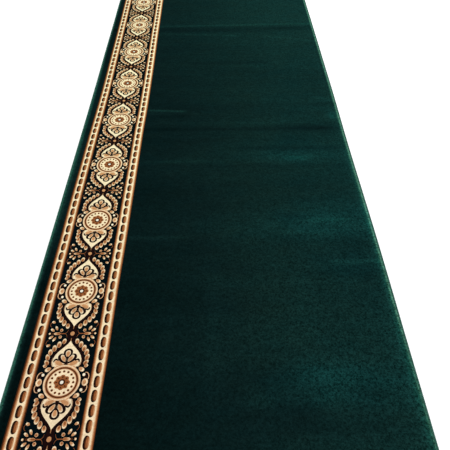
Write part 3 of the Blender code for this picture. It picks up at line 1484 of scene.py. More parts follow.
@dataclass(frozen=True)
class Cordon:
    """The string of two-toned beads round the leaf, and the curl and bead beside the ring."""

    beads: tuple[Bead, ...] = (
        Bead((60.6, 51.4), 10.4, 11.5, -56.0, 0.6),
        Bead((58.2, 62.6), 12.6, 18.5, -30.0, 1.25),
        Bead((59.0, 79.6), 13.2, 20.5, -14.0, 1.1),
        Bead((54.4, 95.8), 13.4, 20.5, -8.0),
        Bead((45.0, 109.2), 13.8, 21.0, -4.0),
        Bead((33.4, 121.8), 13.6, 21.0, 2.0),
        Bead((19.8, 133.0), 12.4, 18.0, 8.0),
    )
    layers: tuple[BeadLayer, ...] = (
        BeadLayer(Yarn.UMBER, 0.0, 1.18, 1.12, 12),
        BeadLayer(Yarn.SAND, 0.02, 0.98, 1.04, 14),
        BeadLayer(Yarn.CREAM, 0.26, 0.74, 0.44, 12),
        BeadLayer(Yarn.COPPER, -0.09, 0.78, 0.80, 12),
        BeadLayer(Yarn.BROWN, -0.18, 0.44, 0.56, 10),
    )
    curl: tuple[Point, ...] = (
        (61.6, 30.0), (65.8, 30.6), (70.6, 28.2), (74.0, 22.4), (75.0, 16.0), (74.0, 10.6), (71.0, 6.4),
    )  # fmt: skip

    def marks(self) -> list[Mark]:
        """Draws the cordon.

        Returns:
            Its shapes, from the lowest layer up.
        """
        return [
            *(self._layer(bead, layer) for bead in self.beads for layer in self.layers),
            petal(Yarn.SAND, (41.0, 45.5), (57.0, 35.5), 13.0, 0.4),
            petal(Yarn.CREAM, (48.0, 41.4), (56.2, 36.0), 8.6, 0.1, 12),
            petal(Yarn.COPPER, (40.6, 45.6), (52.0, 38.6), 8.4, 0.4, 12),
            oval(Yarn.UMBER, (66.4, 18.6), 15.0, 19.0, points=14),
            stroke(Yarn.COPPER, self.curl, (1.2, 2.2, 2.6, 2.6, 2.6, 2.4, 2.0)),
            stroke(Yarn.SAND, self.curl, (0.8, 1.2, 1.4, 1.4, 1.4, 1.2, 1.0)),
            oval(Yarn.CREAM, (59.6, 23.2), 8.4, 9.6, points=14),
            oval(Yarn.WHITE, (60.0, 23.6), 5.2, 6.2, points=10),
            oval(Yarn.UMBER, (57.2, 0.0), 7.0, 13.0, points=14),
            oval(Yarn.SAND, (66.6, 0.0), 17.6, 23.6, points=20),
            oval(Yarn.CREAM, (68.6, 0.0), 11.0, 18.0, points=16),
            oval(Yarn.COPPER, (65.4, 0.0), 10.4, 13.6, points=16),
        ]

    @staticmethod
    def _layer(bead: Bead, layer: BeadLayer) -> Mark:
        """One layer of a bead, which is brown towards the medallion and pale on its far side.

        Args:
            bead: the bead.
            layer: the layer.

        Returns:
            Its shape.
        """
        middle = turned(bead.centre, 0.0, layer.up * bead.height, bead.tilt)
        heart = bead.heart if layer.yarn is Yarn.BROWN else 1.0
        size = (layer.wide * heart * bead.width, layer.high * heart * bead.height)
        return oval(layer.yarn, middle, *size, bead.tilt, layer.points)


@dataclass(frozen=True)
class Medallion:
    """The round medallion: rings, a circle of dots and an eight-lobed rosette."""

    tall: float = 1.03  # the weave draws it out a little along the runner
    rings: tuple[tuple[Yarn, float], ...] = (
        (Yarn.SAND, 53.2),
        (Yarn.CREAM, 51.6),
        (Yarn.SAND, 50.2),
        (Yarn.COPPER, 47.9),
        (Yarn.BROWN, 46.9),
        (Yarn.CHOCOLATE, 45.4),
        (Yarn.BROWN, 42.4),
        (Yarn.SAND, 40.6),
        (Yarn.CREAM, 38.8),
    )
    dots: int = 16
    dot_circle: float = 33.0
    dot: float = 8.0
    pupil: float = 5.4
    hub: float = 15.6
    lobes: int = 8
    heart: float = 20.6  # what shows between the lobes
    lobe_circle: float = 15.8
    lobe: Point = (15.6, 13.8)
    lobe_heart: Point = (7.0, 4.6)
    eye: float = 10.0
    centre: float = 5.1

    def marks(self) -> list[Mark]:
        """Draws the medallion.

        Returns:
            Its shapes, from the lowest layer up.
        """
        found = [self._disc(yarn, radius, 48) for yarn, radius in self.rings]
        for _, spot in self._round(self.dots, self.dot_circle):
            found.append(oval(Yarn.BROWN, spot, self.dot, self.dot, points=8))
            found.append(oval(Yarn.CHOCOLATE, spot, self.pupil, self.pupil, points=6))
        found.append(self._disc(Yarn.COPPER, self.heart, 32))
        lobes = self._round(self.lobes, self.lobe_circle)
        found += [oval(Yarn.BROWN, spot, *self.lobe, tilt, 14) for tilt, spot in lobes]
        found.append(self._disc(Yarn.BROWN, self.hub, 24))
        found += [oval(Yarn.CHOCOLATE, spot, *self.lobe_heart, tilt, 8) for tilt, spot in lobes]
        found.append(self._disc(Yarn.CHOCOLATE, self.eye, 20))
        found.append(self._disc(Yarn.WHITE, self.centre, 16))
        return found

    def _disc(self, yarn: Yarn, radius: float, points: int) -> Mark:
        """A disc round the middle."""
        return oval(yarn, (0.0, 0.0), 2 * radius, 2 * radius * self.tall, points=points)

    def _round(self, count: int, radius: float) -> list[tuple[float, Point]]:
        """Even places on a circle round the middle.

        Args:
            count: the number of places.
            radius: the radius of the circle.

        Returns:
            The angle of each place, in degrees, and the place.
        """
        found = []
        for angle in (360.0 * i / count for i in range(count)):
            x, y = turned((0.0, 0.0), radius, 0.0, angle)
            found.append((angle, (x, self.tall * y)))
        return found


Flat = dict[Yarn, tuple[Array, Array]]  # each yarn's points, in metres, and triangles


@dataclass
class Tile:
    """A rectangle of the border, divided among the yarns."""

    low: Point
    high: Point
    ground: Yarn
    marks: list[Mark]  # what lies on the ground, from the lowest layer up
    lattice: float = 14.0  # spacing of the points that keep large areas well divided
    shift: Point = (0.37, 0.21)  # of the lattice, in spacings, so that it misses straight edges
    margin: float = 0.3  # how far it stops short of the upper and right edges, in spacings
    epsilon: float = 1e-4  # points that lie closer together are one

    def divide(self) -> Flat:
        """Cuts the rectangle along every outline; a later mark lies over the earlier ones.

        Returns:
            For each yarn, its points in metres and its triangles.
        """
        (x0, y0), (x1, y1) = self.low, self.high
        shapes = [Mark(self.ground, [(x0, y0), (x1, y0), (x1, y1), (x0, y1)]), *self.marks]
        points: list[Vector] = []
        faces: list[list[int]] = []
        for shape in shapes:
            start = len(points)
            points += [Vector(p) for p in self._anticlockwise(shape.outline)]
            faces.append(list(range(start, len(points))))
        places, triangles, owners = self._cut(points, [], faces)
        kept = [i for i, owner in enumerate(owners) if 0 in owner]
        order = list(Yarn)
        yarns = np.array([order.index(shapes[max(owners[i])].yarn) for i in kept])
        places, triangles, yarns = self._without_hidden(places, triangles[kept], yarns)
        return {
            yarn: self._only_used(places * MM, triangles[yarns == i])
            for i, yarn in enumerate(order)
            if np.any(yarns == i)
        }

    def _cut(self, points: list[Vector], lines: list, faces: list) -> tuple[Array, Array, list]:
        """Divides the tile into triangles.

        Args:
            points: the points of all outlines, to which the lattice is added.
            lines: pairs of points that have to be joined.
            faces: closed outlines; if there are any, only what lies inside them is divided.

        Returns:
            The points, the triangles between them, and the faces that each triangle lies in.
        """
        spots = points + [Vector(p) for p in self._lattice()]
        only_inside = 1 if faces else 0
        cut = delaunay_2d_cdt(spots, lines, faces, only_inside, self.epsilon)
        return np.array([tuple(p) for p in cut[0]]), np.array(cut[2]), cut[5]

    def _without_hidden(
        self, places: Array, triangles: Array, yarns: Array
    ) -> tuple[Array, Array, Array]:
        """Divides the tile again, with only the lines between two yarns.

        Args:
            places: the points.
            triangles: the triangles between them.
            yarns: the number of each triangle's yarn.

        Returns:
            The points, triangles and yarn numbers of the new division.
        """
        owner = dict(zip(map(tuple, three_sides(triangles).tolist()), np.tile(yarns, 3).tolist()))
        lines = [[a, b] for (a, b), yarn in owner.items() if a < b and owner.get((b, a)) != yarn]
        lines += [[a, b] for a, b in owner if a > b and (b, a) not in owner]
        used, index = np.unique(np.array(lines).ravel(), return_inverse=True)
        points = [Vector(p) for p in places[used]]
        new_places, new, _ = self._cut(points, index.reshape(-1, 2).tolist(), [])
        corners = [places[triangles[:, k]] for k in (0, 1, 2)]
        new_yarns = []
        for x, y in new_places[new].mean(axis=1):
            turns = [
                (q[:, 0] - p[:, 0]) * (y - p[:, 1]) - (q[:, 1] - p[:, 1]) * (x - p[:, 0])
                for p, q in zip(corners, corners[1:] + corners[:1])
            ]
            new_yarns.append(yarns[np.argmax(np.min(turns, axis=0))])
        return new_places, new, np.array(new_yarns)

    def _lattice(self) -> list[Point]:
        """Sets out points in rows inside the tile, each second row shifted by half a step.

        Returns:
            The points.
        """
        (x0, y0), (x1, y1) = self.low, self.high
        step, edge = self.lattice, self.margin * self.lattice
        columns = range(int((x1 - x0) / step))
        found = []
        for j in range(1, int((y1 - y0) / step)):
            start = x0 + (0.5 * (j % 2) + self.shift[0]) * step
            found += [(start + i * step, y0 + (j + self.shift[1]) * step) for i in columns]
        return [p for p in found if x0 < p[0] < x1 - edge and y0 < p[1] < y1 - edge]

    @staticmethod
    def _anticlockwise(outline: list[Point]) -> list[Point]:
        """The outline in the order that encloses its inside."""
        area = sum(a[0] * b[1] - b[0] * a[1] for a, b in zip(outline, outline[1:] + outline[:1]))
        return outline if area > 0 else outline[::-1]

    @staticmethod
    def _only_used(places: Array, triangles: Array) -> tuple[Array, Array]:
        """Drops the points that no triangle uses."""
        used, index = np.unique(triangles.ravel(), return_inverse=True)
        return places[used], index.reshape(-1, 3)


def mirrored(flat: Flat, axis: int) -> Flat:
    """A division and its mirror image.

    Args:
        flat: the division.
        axis: 0 or 1, the coordinate that changes its sign.

    Returns:
        Both together.
    """
    found = {}
    for yarn, (places, triangles) in flat.items():
        image = places.copy()
        image[:, axis] *= -1
        both = np.vstack([triangles, triangles[:, ::-1] + len(places)])
        found[yarn] = (np.vstack([places, image]), both)
    return found


# ------ geometry node trees


class Repeats:
    """The geometry node trees that repeat a shape along the carpet."""

    @staticmethod
    def _start(name: str, inputs: dict[str, str]) -> Nodes:
        """Opens a modifier tree.

        Args:
            name: the name of the tree.
            inputs: the name and the kind of each input after its geometry.

        Returns:
            The tree's nodes.
        """
        shape = {"Geometry": "Geometry"}
        nodes = open_group("GeometryNodeTree", name, shape | inputs, shape)
        nodes.tree.is_modifier = True
        return nodes

    @staticmethod
    def _random(nodes: Nodes, seed: Feed) -> Socket:
        """A random number from 0 to 1 for each element."""
        node = nodes.add("FunctionNodeRandomValue", {"Seed": seed}, data_type="FLOAT")
        return next(socket for socket in node.outputs if socket.type == "VALUE" and socket.enabled)

    @staticmethod
    def _dyed(nodes: Nodes, geometry: Socket) -> NodeTree:
        """Ends a tree: its geometry goes out in its yarn."""
        dyed = {"Geometry": geometry, "Material": nodes.given("Yarn")}
        nodes.give("Geometry", nodes.add("GeometryNodeSetMaterial", dyed).outputs["Geometry"])
        return nodes.tree

    @staticmethod
    def along() -> NodeTree:
        """A tree that repeats its geometry along Y and joins the copies where they meet.

        Returns:
            The tree.
        """
        wanted = {"Count": "Int", "Pitch": "Float", "Start": "Float", "Yarn": "Material"}
        nodes = Repeats._start("repeat_along", wanted)
        start = nodes.add("ShaderNodeCombineXYZ", {"Y": nodes.given("Start")}).outputs[0]
        offset = nodes.add("ShaderNodeCombineXYZ", {"Y": nodes.given("Pitch")}).outputs[0]
        spots = {"Count": nodes.given("Count"), "Start Location": start, "Offset": offset}
        line = nodes.add("GeometryNodeMeshLine", spots, mode="OFFSET")
        placed = {"Points": line.outputs["Mesh"], "Instance": nodes.given("Geometry")}
        copies = nodes.add("GeometryNodeInstanceOnPoints", placed)
        real = nodes.add("GeometryNodeRealizeInstances", {"Geometry": copies.outputs["Instances"]})
        touching = {"Geometry": real.outputs["Geometry"], "Distance": 0.01 * MM}
        joined = nodes.add("GeometryNodeMergeByDistance", touching)
        return Repeats._dyed(nodes, joined.outputs["Geometry"])

    @staticmethod
    def turns() -> NodeTree:
        """A tree that sets a turn of yarn at every station, each a little different.

        Returns:
            The tree.
        """
        objects = dict.fromkeys(("Stations", "Turn"), "Object")
        numbers = dict.fromkeys(("Heading", "Tilt", "Spread"), "Float")
        wanted = objects | numbers | {"Seed": "Int", "Yarn": "Material"}
        nodes = Repeats._start("overcast_turns", wanted)
        stations, turn = (
            nodes.add("GeometryNodeObjectInfo", {"Object": nodes.given(name)}) for name in objects
        )
        seed = nodes.given("Seed")  # what is added to it sets the three draws apart
        lean = Repeats._random(nodes, seed)
        swell = Repeats._random(nodes, nodes.math("ADD", seed, 7.0))
        shade_of_its_own = Repeats._random(nodes, nodes.math("ADD", seed, 13.0))
        tilt = nodes.math("MULTIPLY", nodes.given("Tilt"), nodes.math("SUBTRACT", lean, 0.5))
        heading = {"Z": nodes.math("ADD", nodes.given("Heading"), tilt)}
        size = nodes.math("MULTIPLY", nodes.given("Spread"), nodes.math("SUBTRACT", swell, 0.5))
        lower = nodes.math("MULTIPLY", size, 0.25)  # a wider turn is a little flatter
        scale = {"X": 1.0, "Y": nodes.math("ADD", 1.0, size), "Z": nodes.math("SUBTRACT", 1.0, lower)}
        placed = {
            "Points": stations.outputs["Geometry"],
            "Instance": turn.outputs["Geometry"],
            "Rotation": nodes.add("ShaderNodeCombineXYZ", heading).outputs[0],
            "Scale": nodes.add("ShaderNodeCombineXYZ", scale).outputs[0],
        }
        copies = nodes.add("GeometryNodeInstanceOnPoints", placed).outputs["Instances"]
        shaded = {"Geometry": copies, "Name": "turn_shade", "Value": shade_of_its_own}
        tone = nodes.add("GeometryNodeStoreNamedAttribute", shaded, data_type="FLOAT", domain="INSTANCE")
        real = nodes.add("GeometryNodeRealizeInstances", {"Geometry": tone.outputs["Geometry"]})
        both = nodes.add("GeometryNodeJoinGeometry", {0: nodes.given("Geometry")})
        nodes.put(both.inputs[0], real.outputs["Geometry"])
        return Repeats._dyed(nodes, both.outputs["Geometry"])

    @staticmethod
    def run(tree: NodeTree, base: Mesh, **values: object) -> Mesh:
        """Runs a tree on a mesh and returns the result as a plain mesh.

        Args:
            tree: the geometry node tree.
            base: the mesh that goes in.
            values: the tree's inputs, by name.

        Returns:
            The finished mesh.
        """
        carrier = mesh_object("carrier", base)
        modifier = carrier.modifiers.new("repeat", "NODES")
        modifier.node_group = tree
        for item in tree.interface.items_tree:
            if item.item_type == "SOCKET" and item.in_out == "INPUT" and item.name in values:
                modifier[item.identifier] = values[item.name]
        graph = bpy.context.evaluated_depsgraph_get()
        made = bpy.data.meshes.new_from_object(
            carrier.evaluated_get(graph), preserve_all_data_layers=True, depsgraph=graph
        )
        carrier.modifiers.remove(modifier)
        bpy.data.objects.remove(carrier)
        return made


# ------ the woven pieces


class Dash(NamedTuple):
    """One layer of a guard stripe's dash, in millimetres."""

    yarn: Yarn
    across: float  # its middle, from the middle of the guard
    along: float  # its middle, from the middle of the dash
    width: float
    height: float


class Run(NamedTuple):
    """A tile that is repeated along the carpet."""

    flat: Flat
    axis: float  # the tile's x, from the left edge
    count: int
    pitch: float
    start: float


@dataclass
class OrnamentalBorder:
    """The border: a dark ground with medallions between two guard stripes of long dashes."""

    lie: Lie
    line: BorderLine
    top: PileTop
    pitch: float = 0.320
    repeats: int = 10
    guard_width: float = 42.4  # millimetres
    guard_lattice: float = 12.0
    stripes: tuple[tuple[Yarn, float], ...] = (
        (Yarn.BROWN, 19.0),
        (Yarn.COPPER, 16.0),
        (Yarn.SAND, 13.8),
        (Yarn.CREAM, 12.0),
    )
    outer_trim: Point = (1.4, 0.9)  # how much narrower its stripes are, left and right
    inner_trim: Point = (0.0, -0.6)
    dashes: tuple[Dash, ...] = (
        Dash(Yarn.SAND, 0.8, 0.0, 17.0, 35.6),
        Dash(Yarn.UMBER, -0.5, 0.0, 16.4, 37.2),
        Dash(Yarn.CHOCOLATE, 1.9, 0.4, 12.0, 34.2),
        Dash(Yarn.BROWN, 3.5, 0.8, 9.0, 30.8),
        Dash(Yarn.COPPER, 6.5, 1.4, 3.2, 23.2),
    )
    dash_shift: float = 0.8  # how far past the middle of its tile a dash lies
    dash_pitch: float = 0.640 / 15
    dash_start: float = -0.160
    depth: float = 2.0 * MM
    foot: float = 3.3 * MM
    thin_from: float = 4.2 * MM  # from here in, the inlays are only as deep as depth
    trim_zone: float = 80.0 * MM  # how far from its ends the pattern is cut

    def ground_tile(self) -> Flat:
        """One whole repeat of the dark ground with its motifs, from one drawn quarter.

        Returns:
            Each yarn's share of the tile.
        """
        motifs = (OgeeLeaf(), Trefoil(), Sprig(), Cordon(), Medallion())
        marks = [mark for motif in motifs for mark in motif.marks()]
        half_ground = ((self.line.inner - self.line.outer) / MM - self.guard_width) / 2
        quarter = Tile((0.0, 0.0), (half_ground, self.pitch / MM / 2), Yarn.NIGHT, marks)
        return mirrored(mirrored(quarter.divide(), 0), 1)

    def guard_tile(self, trim: Point) -> Flat:
        """One dash of a guard stripe, with half a gap at each end.

        Args:
            trim: how much narrower its lengthwise stripes are, on the left and on the right.

        Returns:
            Each yarn's share of the tile.
        """
        half, length = self.guard_width / 2, self.dash_pitch / MM
        marks = []
        for yarn, side in self.stripes:
            low, high = trim[0] - side, side - trim[1]
            band = [(low, -length), (high, -length), (high, 2 * length), (low, 2 * length)]
            marks.append(Mark(yarn, band))
        middle = length / 2 + self.dash_shift
        for dash in self.dashes:
            spot = (dash.across, middle + dash.along)
            marks.append(pebble(dash.yarn, spot, dash.width, dash.height))
        low, high = (-half, 0.0), (half, length)
        return Tile(low, high, Yarn.CHOCOLATE, marks, self.guard_lattice).divide()

    def build(self) -> list[Object]:
        """Builds the border.

        Returns:
            One inlaid piece for each yarn.
        """
        tree = Repeats.along()
        line, half = self.line, self.lie.half_length
        before = math.ceil((self.dash_start + half) / self.dash_pitch)
        count = 2 * math.ceil(half / self.dash_pitch) + 2
        guard = (count, self.dash_pitch, self.dash_start - before * self.dash_pitch)
        ground = (self.repeats, self.pitch, self.pitch / 2 - half)
        runs = [
            Run(self.ground_tile(), (line.outer + line.inner) / 2, *ground),
            Run(self.guard_tile(self.outer_trim), line.outer, *guard),
            Run(self.guard_tile(self.inner_trim), line.inner, *guard),
        ]
        return [self._inlay(tree, yarn, runs) for yarn in Yarn]

    def _inlay(self, tree: NodeTree, yarn: Yarn, runs: Sequence[Run]) -> Object:
        """Builds everything that is woven in one yarn.

        Args:
            tree: the geometry node tree that repeats a tile.
            yarn: the yarn.
            runs: the tiles of the border.

        Returns:
            The piece.
        """
        name, specular = "border_" + yarn.value, 0.0 if yarn in DARK_YARNS else 0.1
        finish = YarnPile("pile_" + yarn.value, colour=DYES[yarn], specular=specular).material()
        joined = bmesh.new()
        for run in runs:
            if yarn in run.flat:
                places, triangles = run.flat[yarn]
                region = bpy.data.meshes.new("region")
                spots = [(x + run.axis, y, 0.0) for x, y in places]
                region.from_pydata(spots, [], triangles.tolist())
                row = {"Count": run.count, "Pitch": run.pitch, "Start": run.start, "Yarn": finish}
                joined.from_mesh(Repeats.run(tree, region, **row))
        self._trim(joined)
        mesh = self._solid(name, plain_mesh("flat", joined))
        mesh.materials.append(finish)
        shade(mesh)
        return finished(mesh, name)

    def _trim(self, solid: BMesh) -> None:
        """Cuts the repeated pattern off at both ends of the pile, with rows for the rounding.

        Args:
            solid: the pattern, still flat.
        """
        zone = self.lie.pile_end - self.trim_zone
        for end in (-1, 1):
            for inset in (*self.top.insets[1:], self.thin_from, 0.0):
                close = [face for face in solid.faces if end * face.calc_center_median().y > zone]
                parts = {part for face in close for part in (face, *face.edges, *face.verts)}
                bmesh.ops.bisect_plane(
                    solid,
                    geom=list(parts),
                    dist=1e-6,
                    plane_co=(0.0, end * (self.lie.pile_end - inset), 0.0),
                    plane_no=(0.0, end, 0.0),
                    clear_outer=inset == 0.0,
                )
        bmesh.ops.triangulate(solid, faces=[face for face in solid.faces if len(face.verts) > 3])

    def _solid(self, name: str, mesh: Mesh) -> Mesh:
        """Lays a flat region of the pattern on the carpet and gives it its depth.

        Args:
            name: the name of the new mesh.
            mesh: the flat region; x is the distance from the left edge.

        Returns:
            A closed mesh.
        """
        count = len(mesh.vertices)
        flat = np.empty(3 * count)
        mesh.vertices.foreach_get("co", flat)
        u, drawn, _ = flat.reshape(-1, 3).T
        y = self.line.y(drawn)
        x = self.line.x(u, y)
        z = self.top.z(x, y)
        share = smoothstep(self.top.insets[3], self.thin_from, self.lie.pile_end - np.abs(y))
        low = self.foot * (1 - share) + (z - self.depth) * share
        triangles = np.empty(3 * len(mesh.polygons), dtype=np.int32)
        mesh.polygons.foreach_get("vertices", triangles)
        triangles = triangles.reshape(-1, 3)
        sides = three_sides(triangles).astype(np.int64)
        a, b = sides[~np.isin(sides @ (count, 1), sides @ (1, count))].T
        walls = np.stack([b, a, a + count, b + count], axis=1)
        places = np.vstack([np.stack([x, y, z], 1), np.stack([x, y, low], 1)])
        faces = [*triangles.tolist(), *(triangles[:, ::-1] + count).tolist(), *walls.tolist()]
        made = bpy.data.meshes.new(name)
        made.from_pydata(places.tolist(), [], faces)
        made.validate()
        return made


Side = Callable[[Array], Array]  # the x of a line at each y


@dataclass
class GreenPile:
    """The plain green pile: the field, the band outside the border, and what the border lies on."""

    lie: Lie
    line: BorderLine
    top: PileTop
    nap_sheen: NapSheen
    cell: float = 12.0 * MM
    row: float = 6.2 * MM
    closest: float = 0.3 * MM  # two rows
    beside: tuple[float, ...] = (4.5, 6.5, 9.0, 12.0, 16.0, 22.0)  # columns in from a side, in mm
    half_guard: float = 21.2 * MM
    bed_drop: float = 2.15 * MM
    bed_margin: float = 4.5 * MM
    bed_columns: int = 9
    bed_rows: int = 4  # it takes only every fourth row

    def build(self) -> Object:
        """Builds the green pile as one piece of three blocks.

        Returns:
            The piece.
        """
        rows = self._rows()
        left, right = self.lie.pile_left, self.lie.pile_right
        bed_rows = rows[np.abs(rows) < self.lie.pile_end - self.bed_margin][:: self.bed_rows]
        bed = np.linspace(0, 1, self.bed_columns)
        band = self._columns(self._band_side(0.0) - left(0.0), True, False)
        field = self._columns(right(0.0) - self._field_side(0.0), False, True)
        blocks = (
            self._block(left, self._band_side, band, rows),
            self._block(self._field_side, right, field, rows),
            self._block(self._band_side, self._field_side, bed, bed_rows, self.bed_drop),
        )
        points: list = []
        faces: list = []
        for block_points, block_faces in blocks:
            faces += [[i + len(points) for i in face] for face in block_faces]
            points += block_points
        mesh = bpy.data.meshes.new("pile_green")
        mesh.from_pydata(points, [], faces)
        mesh.validate()
        x, y = np.array(points)[:, :2].T
        # the mesh carries the pile's painted sheen, and how blue its green looks
        carried = {
            "nap_sheen": np.clip(self.nap_sheen.light(x, y) / SHEEN_RANGE, 0.0, 1.0),
            "cool": self.nap_sheen.cool(x, y),
        }
        for name, values in carried.items():
            mesh.attributes.new(name, "FLOAT", "POINT").data.foreach_set("value", values)
        mesh.materials.append(FieldPile("pile_green", specular=0.0).material())
        shade(mesh)
        return finished(mesh, "pile_green")

    def _band_side(self, y: Array) -> Array:
        """The x at each y where the band outside the border ends."""
        return self.line.x(self.line.outer - self.half_guard, y)

    def _field_side(self, y: Array) -> Array:
        """The x at each y where the field begins."""
        return self.line.x(self.line.inner + self.half_guard, y)

    def _rows(self) -> Array:
        """Sets out the rows along the length, closer together at the ends.

        Returns:
            Their places.
        """
        end = self.lie.pile_end
        flat_from = end - self.top.insets[-1]
        rows = [*np.arange(-flat_from, flat_from, self.row), flat_from]
        rows += [side * (end - inset) for inset in self.top.insets for side in (-1, 1)]
        rows = np.array(sorted(rows))
        return rows[np.concatenate([[True], np.diff(rows) > self.closest])]

    def _columns(self, width: float, left_rolled: bool, right_rolled: bool) -> Array:
        """Shares from 0 to 1 across a block.

        Args:
            width: the width of the block.
            left_rolled: True if its left side is rounded over, with its columns close together.
            right_rolled: the same for its right side.

        Returns:
            The share of the width at each column.
        """
        close = np.array([*self.top.insets, *(MM * inset for inset in self.beside)]) / width
        left = close if left_rolled else np.array([0.0])
        right = 1 - close[::-1] if right_rolled else np.array([1.0])
        count = max(2, int((right[0] - left[-1]) * width / self.cell))
        between = np.linspace(left[-1], right[0], count + 1)[1:-1]
        return np.concatenate([left, between, right])

    def _block(
        self, low: Side, high: Side, shares: Array, rows: Array, drop: float = 0.0
    ) -> tuple[list, list]:
        """One closed block of pile between two lines.

        Args:
            low: the x of its left side at each y.
            high: the x of its right side at each y.
            shares: the columns, from 0 at the left side to 1 at the right one.
            rows: the rows along the length.
            drop: how far its top lies below the tips of the pile.

        Returns:
            The block's points and its faces.
        """
        y, share = np.meshgrid(rows, shares, indexing="ij")
        x = low(y) * (1 - share) + high(y) * share
        if not drop:
            x, y = self._round_corners(x, y)
        z = self.top.z(x, y) - drop
        feet = x.ravel()
        x = x + (0.0 if drop else self.top.splay(x, y))
        grid = np.arange(y.size).reshape(y.shape)
        points = np.stack([x, y, z], axis=-1).reshape(-1, 3).tolist()
        quads = np.stack([grid[:-1, :-1], grid[:-1, 1:], grid[1:, 1:], grid[1:, :-1]], axis=-1)
        faces = quads.reshape(-1, 4).tolist()
        ring = [*grid[0, :-1], *grid[:-1, -1], *grid[-1, :0:-1], *grid[:0:-1, 0]]
        foot = {}
        for i in ring:
            foot[i] = len(points)
            points.append([feet[i], points[i][1], self.top.root])
        faces += [[b, a, foot[a], foot[b]] for a, b in zip(ring, ring[1:] + ring[:1])]
        left, right = ([foot[i] for i in grid[:, side]] for side in (0, -1))
        faces.append([left[1], right[1], *(foot[i] for i in grid[0, ::-1])])
        for i in range(1, len(rows) - 2):
            faces.append([left[i], left[i + 1], right[i + 1], right[i]])
        faces.append([right[-2], left[-2], *(foot[i] for i in grid[-1])])
        return points, faces

    def _round_corners(self, x: Array, y: Array) -> tuple[Array, Array]:
        """Rounds the corners of the pile as seen from above.

        Args:
            x, y: places across and along the carpet.

        Returns:
            The places with those near a corner moved in.
        """
        reach = self.top.corner
        off, half = self.lie.from_middle(x, y)
        p = np.clip((np.abs(off) - (half - reach)) / reach, 0.0, 1.0)
        q = np.clip((np.abs(y) - (self.lie.pile_end - reach)) / reach, 0.0, 1.0)
        moved_p, moved_q = p * np.sqrt(1 - q * q / 2), q * np.sqrt(1 - p * p / 2)
        return x + np.sign(off) * reach * (moved_p - p), y + np.sign(y) * reach * (moved_q - q)


@dataclass
class GroundWeave:
    """The woven ground that the pile is rooted in, with its bare selvedge all round."""

    lie: Lie
    low: float = 1.6 * MM
    high: float = 3.2 * MM
    selvedge: float = 2.0 * MM
    corner: float = 3.0 * MM
    stations: int = 65
    arc: int = 4

    def build(self, pile: Sequence[Object]) -> Object:
        """Args:
            pile: the pieces that are woven into it or sewn on it; not used.

        Returns:
            The ground weave.
        """
        inner, outer = self.lie.overcast_width, self.selvedge
        profile = ((inner, 0.0), (inner, self.low), (outer, self.low), (outer, self.high))
        rings = [[(x, y, z) for x, y in self._outline(inset)] for inset, z in profile]
        mesh = skinned("ground_weave", rings)
        mesh.materials.append(WovenGround("ground_weave", specular=0.2).material())
        piece = finished(mesh, "ground_weave", ["carpet"])
        width = float(self.lie.right(0.0) - self.lie.left(0.0)) - 2 * self.selvedge
        return piece

    def _side(self, side: int, inset: float, y: float) -> float:
        """The x that lies inset inside the left (-1) or the right (1) edge at y."""
        edge = self.lie.left(y) if side < 0 else self.lie.right(y)
        return float(edge - side * inset)

    def _outline(self, inset: float) -> list[Point]:
        """The outline that lies inset inside the edge, anticlockwise from above.

        Args:
            inset: how far inside the edge it lies.

        Returns:
            Its points.
        """
        found: list[Point] = []
        r = self.corner
        end = self.lie.half_length - inset - r
        for side, end_side, start in ((1, -1, -90.0), (1, 1, 0.0), (-1, 1, 90.0), (-1, -1, 180.0)):
            middle = (self._side(side, inset, end_side * end) - side * r, end_side * end)
            angles = [start + 90.0 * i / self.arc for i in range(self.arc + 1)]
            found += [turned(middle, r, 0.0, angle) for angle in angles]
            if side != end_side:
                ys = np.linspace(-side * end, side * end, self.stations)[1:-1]
                found += [(self._side(side, inset, y), float(y)) for y in ys]
        return found


class Edge(Enum):
    """The four overcast edges: the name of the CAD node that each one replaces."""

    LEFT = "serging_left"
    RIGHT = "serging_right"
    NEAR = "serging_near_end"
    FAR = "serging_far_end"


# One yarn: the greens differ a little from edge to edge as painted light and shade, for how each edge is
# lit.
TURNS: dict[Edge, tuple[float, Colour]] = {  # the heading of its turns in degrees, and their green
    Edge.LEFT: (0.0, (50.0, 104.0, 88.0)),
    Edge.RIGHT: (180.0, (54.0, 101.0, 88.0)),
    Edge.NEAR: (90.0, (56.0, 104.0, 90.0)),
    Edge.FAR: (-90.0, (56.0, 104.0, 90.0)),
}


@dataclass(frozen=True)
class Course:
    """One overcast edge, and where its turns stand."""

    lie: Lie
    edge: Edge

    @property
    def is_long(self) -> bool:
        """True for an edge that runs along the length."""
        return self.edge in (Edge.LEFT, Edge.RIGHT)

    @property
    def inward(self) -> float:
        """The sign of the way in from the edge."""
        return 1.0 if self.edge in (Edge.LEFT, Edge.NEAR) else -1.0

    def place(self, along: float, inset: float) -> Point:
        """Finds a place on the carpet.

        Args:
            along: how far along the edge it lies.
            inset: how far in from the edge it lies.

        Returns:
            The place.
        """
        if not self.is_long:
            return along, self.inward * (inset - self.lie.half_length)
        follow = self.lie.left if self.edge is Edge.LEFT else self.lie.right
        return float(follow(along)) + self.inward * inset, along

    def turns(self, pitch: float, half_width: float) -> list[float]:
        """Sets out the turns of yarn.

        Args:
            pitch: from one turn to the next.
            half_width: half the width of a turn.

        Returns:
            The place of each turn along the edge.
        """
        half = self.lie.half_length
        if self.is_long:
            margin = 1.6 * pitch  # what both ends together leave free
            count = int((2 * half - margin) / pitch)
            return [float(i) for i in (np.arange(count) - (count - 1) / 2) * pitch]
        end = -self.inward * half
        clear = self.lie.overcast_width + half_width
        left, right = float(self.lie.left(end)) + clear, float(self.lie.right(end)) - clear
        return [float(along) for along in np.arange(left, right, pitch)]


